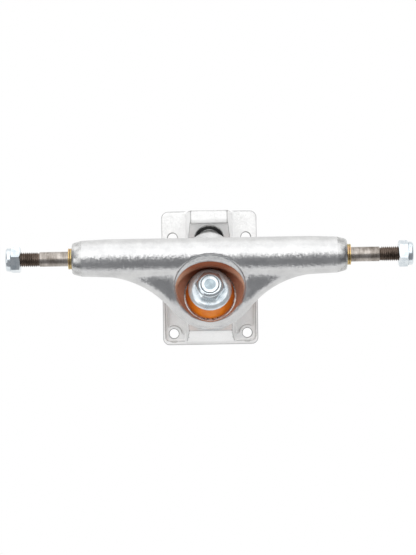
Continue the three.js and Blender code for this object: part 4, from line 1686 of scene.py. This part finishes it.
@dataclass
class LockNut:
    """Hexagonal lock nut with a rolled collar that holds a nylon ring."""

    layout: Layout
    finishes: Finishes
    name: str
    body: str
    carrier: str
    insert_node: str
    place: Matrix
    flats: float
    bore_diameter: float
    hex_height: float
    collar_height: float
    turn: float
    face_inset: float = 0.15
    lead: float = 0.6
    insert_width: float = 1.1
    insert_height: float = 1.5
    insert_edge: float = 0.25
    crimp: float = 0.6
    collar_wall: float = 0.8
    roll_width: float = 1.2
    roll_height: float = 1.2
    roll_power: float = 1.0
    roll_steps: int = 6
    opening: float = 0.55
    opening_edge: float = 0.2

    def _shell(self) -> Blank:
        """Turn the outside of the nut, which chamfers the hexagon and rolls the collar.

        Returns:
            The outside.
        """
        collar, face = self._groove() + self.collar_wall, self.flats / 2 - self.face_inset
        corner, drop = hexagon_corner(self.flats)
        top = self.hex_height + self.collar_height
        rolled = []
        for step in range(self.roll_steps + 1):
            angle = step / self.roll_steps * math.pi / 2
            rolled.append((
                collar - self.roll_width * (1 - math.cos(angle) ** self.roll_power),
                top - self.roll_height * (1 - math.sin(angle) ** self.roll_power),
            ))
        return Blank.turned([
            (0, 0), (face, 0), (corner, drop), (corner, self.hex_height - drop), (face, self.hex_height),
            (collar, self.hex_height), *rolled, (0, top),
        ])

    def _groove(self) -> float:
        """Return the radius of the groove for the nylon ring."""
        return self._bore() + self.insert_width + self.layout.seat_gap

    def _bore(self) -> float:
        """Return the radius of the bore."""
        return self.bore_diameter / 2 + self.layout.running_clearance

    def _hole(self) -> Blank:
        """Make the tool for the bore with its lead-in, the groove and the opening of the collar.

        Returns:
            The tool.
        """
        bore, groove, over = self._bore(), self._groove(), self.layout.overrun
        top = self.hex_height + self.collar_height
        low = top - self.crimp - self.insert_height - 2 * self.layout.seat_gap
        lead, edge, opening = self.lead, self.opening_edge, bore + self.opening
        return Blank.turned([
            (0, -over), (bore + lead + over, -over), (bore, lead), (bore, low), (groove, low),
            (groove, top - self.crimp), (opening, top - self.crimp), (opening, top - edge),
            (opening + edge + over, top + over), (0, top + over),
        ])

    def build(self) -> None:
        """Build the steel nut and its nylon ring."""
        top = self.hex_height + self.collar_height
        body = self._shell().combine(Blank.hexagon(self.flats, 0, top, self.turn), Joining.KEEP)
        body.combine(self._hole(), Joining.CUT)
        piece = body.place(self.place).finished(f"{self.name}_steel", [self.finishes.zinc_nut], angle=25.0)
        attach(piece, self.name, self.body)
        low, bore = top - self.crimp - self.insert_height - self.layout.seat_gap, self._bore()
        nylon = Blank.rod(bore + self.insert_width, low, low + self.insert_height, bore)
        nylon.soften(self.insert_edge, segments=3, angle=40.0)
        ring = nylon.place(self.place).finished(f"{self.name}_nylon_ring", [self.finishes.nylon])
        attach(ring, self.insert_node, self.carrier)


@dataclass
class KingpinStack:
    """Kingpin bolt, its two cupped washers and its lock nut."""

    layout: Layout
    finishes: Finishes
    head_flats: float = 14.3
    head_height: float = 5.4
    head_depth: float = 5.0
    head_inset: float = 0.2
    head_edge: float = 0.15
    chamfer: float = 1.5
    end_inset: float = 0.15
    end_ring: float = 1.2
    end_drop: float = 0.2
    thread_length: float = 18.0
    thread_runout: float = 1.0
    thread_lead: float = 0.5
    bottom_washer_diameter: float = 25.4
    bottom_washer_flat: float = 22.2
    bottom_lip: float = 1.3
    top_washer_diameter: float = 23.8
    top_washer_flat: float = 18.6
    top_lip: float = 1.3
    nut_flats: float = 14.29
    nut_turn: float = 23.0
    nut_roll: float = 2.2
    nut_roll_height: float = 1.3
    nut_roll_power: float = 1.1
    nut_opening: float = 0.1
    washer_edge: float = 0.35
    cup_steps: int = 8
    cup_power: float = 1.6
    rim_power: float = 3.0

    def _kingpin(self) -> None:
        """Make the bolt with its head and rolled thread."""
        radius, end = self.layout.kingpin_diameter / 2, self.layout.kingpin_end
        core = radius - self.layout.thread_depth
        start = end - self.thread_length
        low = -self.head_depth - self.layout.seat_gap
        ring = radius - self.end_inset
        ring_low, ring_high = end - self.end_ring, end - self.end_drop
        shaft = Blank.turned([
            (0, low), (radius, low), (radius, start - self.thread_runout), (core, start), (core, ring_low),
            (ring, ring_low + self.end_drop), (ring, ring_high), (ring - self.chamfer, end), (0, end),
        ])
        for face in shaft.bm.faces:
            at = face.calc_center_median()
            on_end = at.z > ring_low and math.hypot(at.x, at.y) > ring - self.chamfer
            face.material_index = Surface.CUT if on_end else Surface.BLANK
        thread = Blank.thread(
            radius, self.layout.thread_depth, self.layout.thread_pitch, start - self.thread_lead, ring_low,
        )
        corner, drop = hexagon_corner(self.head_flats)
        under, top, face_radius = -self.head_depth - self.head_height, -self.head_depth, self.head_flats / 2
        head = Blank.turned([
            (0, under), (face_radius - self.head_inset, under), (corner, under + drop), (corner, top),
            (0, top),
        ])
        head.combine(Blank.hexagon(self.head_flats, under, top), Joining.KEEP)
        head.soften(self.head_edge, segments=2, angle=40.0)
        body = shaft.gather(thread, head).place(self.layout.kingpin)
        piece = body.finished("kingpin_bolt", [self.finishes.zinc_bolt, self.finishes.zinc])
        attach(piece, "kingpin", "base")

    def _washer(self, node: str, level: float, diameter: float, flat: float, lip: float) -> None:
        """Press a cupped washer.

        Args:
            node: CAD node that it replaces.
            level: Level along the kingpin.
            diameter: Outer diameter.
            flat: Diameter of the flat middle.
            lip: How far the rim turns up, or down where it is negative.
        """
        inner = self.layout.kingpin_diameter / 2 + self.layout.bore_clearance
        outer, thick, middle = diameter / 2, self.layout.washer_thickness, flat / 2
        under, over = [], []
        for step in range(self.cup_steps + 1):
            share = step / self.cup_steps
            rise = lip * share**self.cup_power
            if lip > 0:
                top = mix(thick, lip + thick / 2, share)
            else:
                top = thick + rise - thick / 2 * share**self.rim_power
            under.append((mix(middle, outer - thick / 2, share), rise))
            over.append((mix(middle, outer, share), top))
        profile = [(inner, 0), *under, (outer, lip), *over[::-1], (inner, thick)]
        body = Blank.turned(profile, closed=True, steps=FINE_STEPS)
        body.soften(self.washer_edge, segments=3, angle=35.0).place(self.layout.on_kingpin(level))
        attach(body.finished(f"{node}_pressing", [self.finishes.zinc_pressing]), node, "base")

    def build(self) -> None:
        """Build the bolt, the washers and the nut."""
        self._kingpin()
        self._washer(
            "bottom_washer", self.layout.bottom_washer_level, self.bottom_washer_diameter,
            self.bottom_washer_flat, self.bottom_lip,
        )
        self._washer(
            "top_washer", self.layout.top_washer_level, self.top_washer_diameter,
            self.top_washer_flat, -self.top_lip,
        )
        LockNut(
            self.layout, self.finishes, name="kingpin_nut", body="kingpin_nut",
            carrier="kingpin_nut_carrier", insert_node="kingpin_nut_insert",
            place=self.layout.on_kingpin(self.layout.nut_level), flats=self.nut_flats,
            bore_diameter=self.layout.kingpin_diameter, hex_height=self.layout.nut_hex_height,
            collar_height=self.layout.nut_collar_height, turn=self.nut_turn, roll_width=self.nut_roll,
            roll_height=self.nut_roll_height, roll_power=self.nut_roll_power, opening=self.nut_opening,
        ).build()


@dataclass
class Axle:
    """Axle with a thread, two speed washers and a lock nut at each end."""

    layout: Layout
    finishes: Finishes
    thread_length: float = 15.4
    thread_runout: float = 0.6
    thread_lead: float = 0.3
    end_chamfer: float = 0.9
    end_land: float = 0.1
    end_land_depth: float = 0.8
    end_core_depth: float = 1.0
    washer_diameter: float = 11.4
    washer_thickness: float = 0.9
    washer_gap: float = 0.15
    washer_edge: float = 0.22
    nut_flats: float = 12.7
    nut_hex_height: float = 5.3
    nut_collar_height: float = 2.6
    nut_overhang: float = 2.45
    left_turn: float = 42.0
    right_turn: float = 48.0

    def _rod(self) -> None:
        """Make the rod with both threads."""
        half, radius = self.layout.axle_length / 2, self.layout.axle_diameter / 2
        core = radius - self.layout.thread_depth
        start = half - self.thread_length
        end = [
            (0, half), (radius - self.end_chamfer, half), (core + self.end_land, half - self.end_land_depth),
            (core, half - self.end_core_depth), (core, start), (radius, start - self.thread_runout),
        ]
        body = Blank.turned([(r, -z) for r, z in end] + end[::-1])
        for face in body.bm.faces:
            on_thread = abs(face.calc_center_median().z) > start
            face.material_index = Surface.CUT if on_thread else Surface.BLANK
        for turn in (0, math.pi):
            thread = Blank.thread(
                radius, self.layout.thread_depth, self.layout.thread_pitch, start - self.thread_lead,
                half - self.end_chamfer / 2,
            )
            body.gather(thread.mark(Surface.CUT).place(Matrix.Rotation(turn, 4, "Y")))
        materials = [self.finishes.axle_steel, self.finishes.thread_steel]
        piece = body.place(self.layout.axle()).finished("axle_rod", materials)
        attach(piece, "axle", "hanger")

    def _washers(self, side: int, word: str) -> None:
        """Make the two speed washers of one end.

        Args:
            side: -1 for the left end, 1 for the right.
            word: The side, as the nodes name it.
        """
        bore = self.layout.axle_diameter / 2 + self.layout.running_clearance
        level = self.layout.hanger_width / 2 + self.washer_gap
        for place in ("inner", "outer"):
            body = Blank.rod(self.washer_diameter / 2, level, level + self.washer_thickness, bore)
            body.soften(self.washer_edge, segments=3, angle=40.0).place(self.layout.axle(side))
            node = f"speed_washer_{word}_{place}"
            attach(
                body.finished(f"{node}_ring", [self.finishes.yellow_zinc]), node,
                f"washer_{word}_{place}",
            )
            level += self.washer_thickness + self.washer_gap

    def build(self) -> None:
        """Build the rod and what stands on both ends."""
        self._rod()
        level = self.layout.axle_length / 2 + self.nut_overhang
        level -= self.nut_hex_height + self.nut_collar_height
        for side, word, turn in ((-1, "left", self.left_turn), (1, "right", self.right_turn)):
            self._washers(side, word)
            LockNut(
                self.layout, self.finishes, name=f"axle_nut_{word}", body=f"axle_nut_{word}",
                carrier=f"axle_nut_carrier_{word}", insert_node=f"axle_nut_insert_{word}",
                place=self.layout.axle(side) @ Matrix.Translation((0, 0, level)),
                flats=self.nut_flats, bore_diameter=self.layout.axle_diameter,
                hex_height=self.nut_hex_height, collar_height=self.nut_collar_height, turn=turn,
            ).build()


@dataclass(frozen=True)
class Softbox:
    """An area lamp with its place, target and size, and the brightness of its face."""

    name: str
    place: tuple[float, float, float]
    target: tuple[float, float, float]
    size: tuple[float, float]
    brightness: float


@dataclass
class Studio:
    """White table, soft lamps and the camera straight above."""

    camera_place: tuple[float, float, float] = (-1.0, 4.4, 1336.0)
    camera_roll: float = -0.96
    lens: float = 153.1
    sensor: float = 36.0
    sky: str = "#88898C"
    fill: str = "#E0E0E1"
    table: str = "#F4F4F4"
    table_reach: float = 3000.0
    table_drop: float = 0.05
    sweep_behind: float = 1.1
    sweep_before: float = 0.9
    sweep_half: float = 200.0
    lamps: tuple[Softbox, ...] = field(default_factory=lambda: (
        Softbox("top_bank", (0, 474, 710), (0, 16, 55), (1250, 815), 1.3),
        Softbox("overhead", (0, 250, 1500), (0, 251, 0), (2400, 500), 0.5),
        Softbox("rear_panel", (0, 900, 240), (0, 16, 55), (1800, 460), 1.15),
        Softbox("front_panel", (0, -850, 190), (0, 16, 55), (1800, 340), 0.75),
        Softbox("left_panel", (-620, -130, 700), (-70, 16, 55), (420, 420), 1.3),
    ))

    def _world(self) -> None:
        """Set an even pale sky, which mirrors as grey and which the camera sees as white."""
        world = bpy.data.worlds.new("studio")
        world.use_nodes = True
        bpy.context.scene.world = world
        tree = world.node_tree
        tree.nodes["Background"].inputs["Color"].default_value = linear(self.fill)
        mirrored = add_node(tree, "ShaderNodeBackground", inputs={"Color": linear(self.sky)})
        white = add_node(tree, "ShaderNodeBackground", inputs={"Color": (1, 1, 1, 1)})
        both = self._by_ray(tree, tree.nodes["Background"], mirrored, white)
        tree.links.new(both, tree.nodes["World Output"].inputs["Surface"])

    @staticmethod
    def _by_ray(tree: Tree, lit: Node, mirrored: Node, seen: Node) -> Socket:
        """Choose a shader by the kind of ray.

        Args:
            tree: Tree of the world or material.
            lit: Shader that lights the truck.
            mirrored: Shader that the truck mirrors.
            seen: Shader that the camera sees.

        Returns:
            The shader output.
        """
        rays = add_node(tree, "ShaderNodeLightPath")
        glossy = add_node(tree, "ShaderNodeMixShader", inputs={
            0: rays.outputs["Is Glossy Ray"], 1: lit.outputs[0], 2: mirrored.outputs[0],
        })
        both = add_node(tree, "ShaderNodeMixShader", inputs={
            0: rays.outputs["Is Camera Ray"], 1: glossy.outputs[0], 2: seen.outputs[0],
        })
        return both.outputs[0]

    def _table(self) -> None:
        """Lay a white sweep, lit to plain white for the camera and falling off in front in reflections."""
        blank = Blank()
        bmesh.ops.create_grid(blank.bm, x_segments=1, y_segments=1, size=self.table_reach)
        material = bpy.data.materials.new("white_table")
        material.use_nodes = True
        tree = material.node_tree
        shader = tree.nodes["Principled BSDF"]
        shader.inputs["Base Color"].default_value = linear(self.table)
        shader.inputs["Roughness"].default_value = 0.6
        where = add_node(tree, "ShaderNodeTexCoord").outputs["Object"]
        depth = add_node(tree, "ShaderNodeSeparateXYZ", inputs={0: where})
        fall = add_node(tree, "ShaderNodeMapRange", inputs={
            "Value": depth.outputs["Y"], "From Min": -self.sweep_half * MM, "From Max": self.sweep_half * MM,
            "To Min": self.sweep_before, "To Max": self.sweep_behind,
        })
        mirrored = add_node(tree, "ShaderNodeEmission", inputs={
            "Color": (1, 1, 1, 1), "Strength": fall.outputs["Result"],
        })
        plain = add_node(tree, "ShaderNodeEmission", inputs={"Color": (1, 1, 1, 1), "Strength": 1.0})
        both = self._by_ray(tree, shader, mirrored, plain)
        tree.links.new(both, tree.nodes["Material Output"].inputs["Surface"])
        blank.place(Matrix.Translation((0, 0, -self.table_drop)))
        blank.finished("table", [material])

    def _lamp(self, softbox: Softbox) -> None:
        """Hang one softbox, turned to its target.

        Args:
            softbox: The softbox.
        """
        light = bpy.data.lights.new(softbox.name, "AREA")
        light.shape = "RECTANGLE"
        light.size, light.size_y = (length * MM for length in softbox.size)
        light.energy = softbox.brightness * math.pi * light.size * light.size_y
        lamp = bpy.data.objects.new(softbox.name, light)
        lamp.location = Vector(softbox.place) * MM
        aim = Vector(softbox.target) - Vector(softbox.place)
        lamp.rotation_euler = aim.to_track_quat("-Z", "Y").to_euler()
        bpy.context.scene.collection.objects.link(lamp)

    def _camera(self) -> None:
        """Hang the camera over the truck."""
        camera = bpy.data.cameras.new("camera")
        camera.lens = self.lens
        camera.sensor_width = self.sensor
        camera.clip_start, camera.clip_end = 0.05, 20.0
        viewer = bpy.data.objects.new("camera", camera)
        viewer.location = Vector(self.camera_place) * MM
        viewer.rotation_euler = (0, 0, math.radians(self.camera_roll))
        bpy.context.scene.collection.objects.link(viewer)
        bpy.context.scene.camera = viewer

    def build(self) -> None:
        """Build the stage, the lamps and the camera."""
        bpy.context.scene.view_settings.view_transform = "Standard"
        self._camera()
        self._world()
        self._table()
        for softbox in self.lamps:
            self._lamp(softbox)


def main() -> None:
    """Build the studio and every sub-assembly in order."""
    logging.basicConfig(level=logging.INFO, format="%(message)s")
    layout = Layout()
    finishes = Finishes(layout)
    Studio().build()
    Baseplate(layout, finishes).build()
    PivotCup(layout, finishes).build()
    KingpinStack(layout, finishes).build()
    Bushings(layout, finishes).build()
    Hanger(layout, finishes).build()
    Axle(layout, finishes).build()


if __name__ == "__main__":
    main()
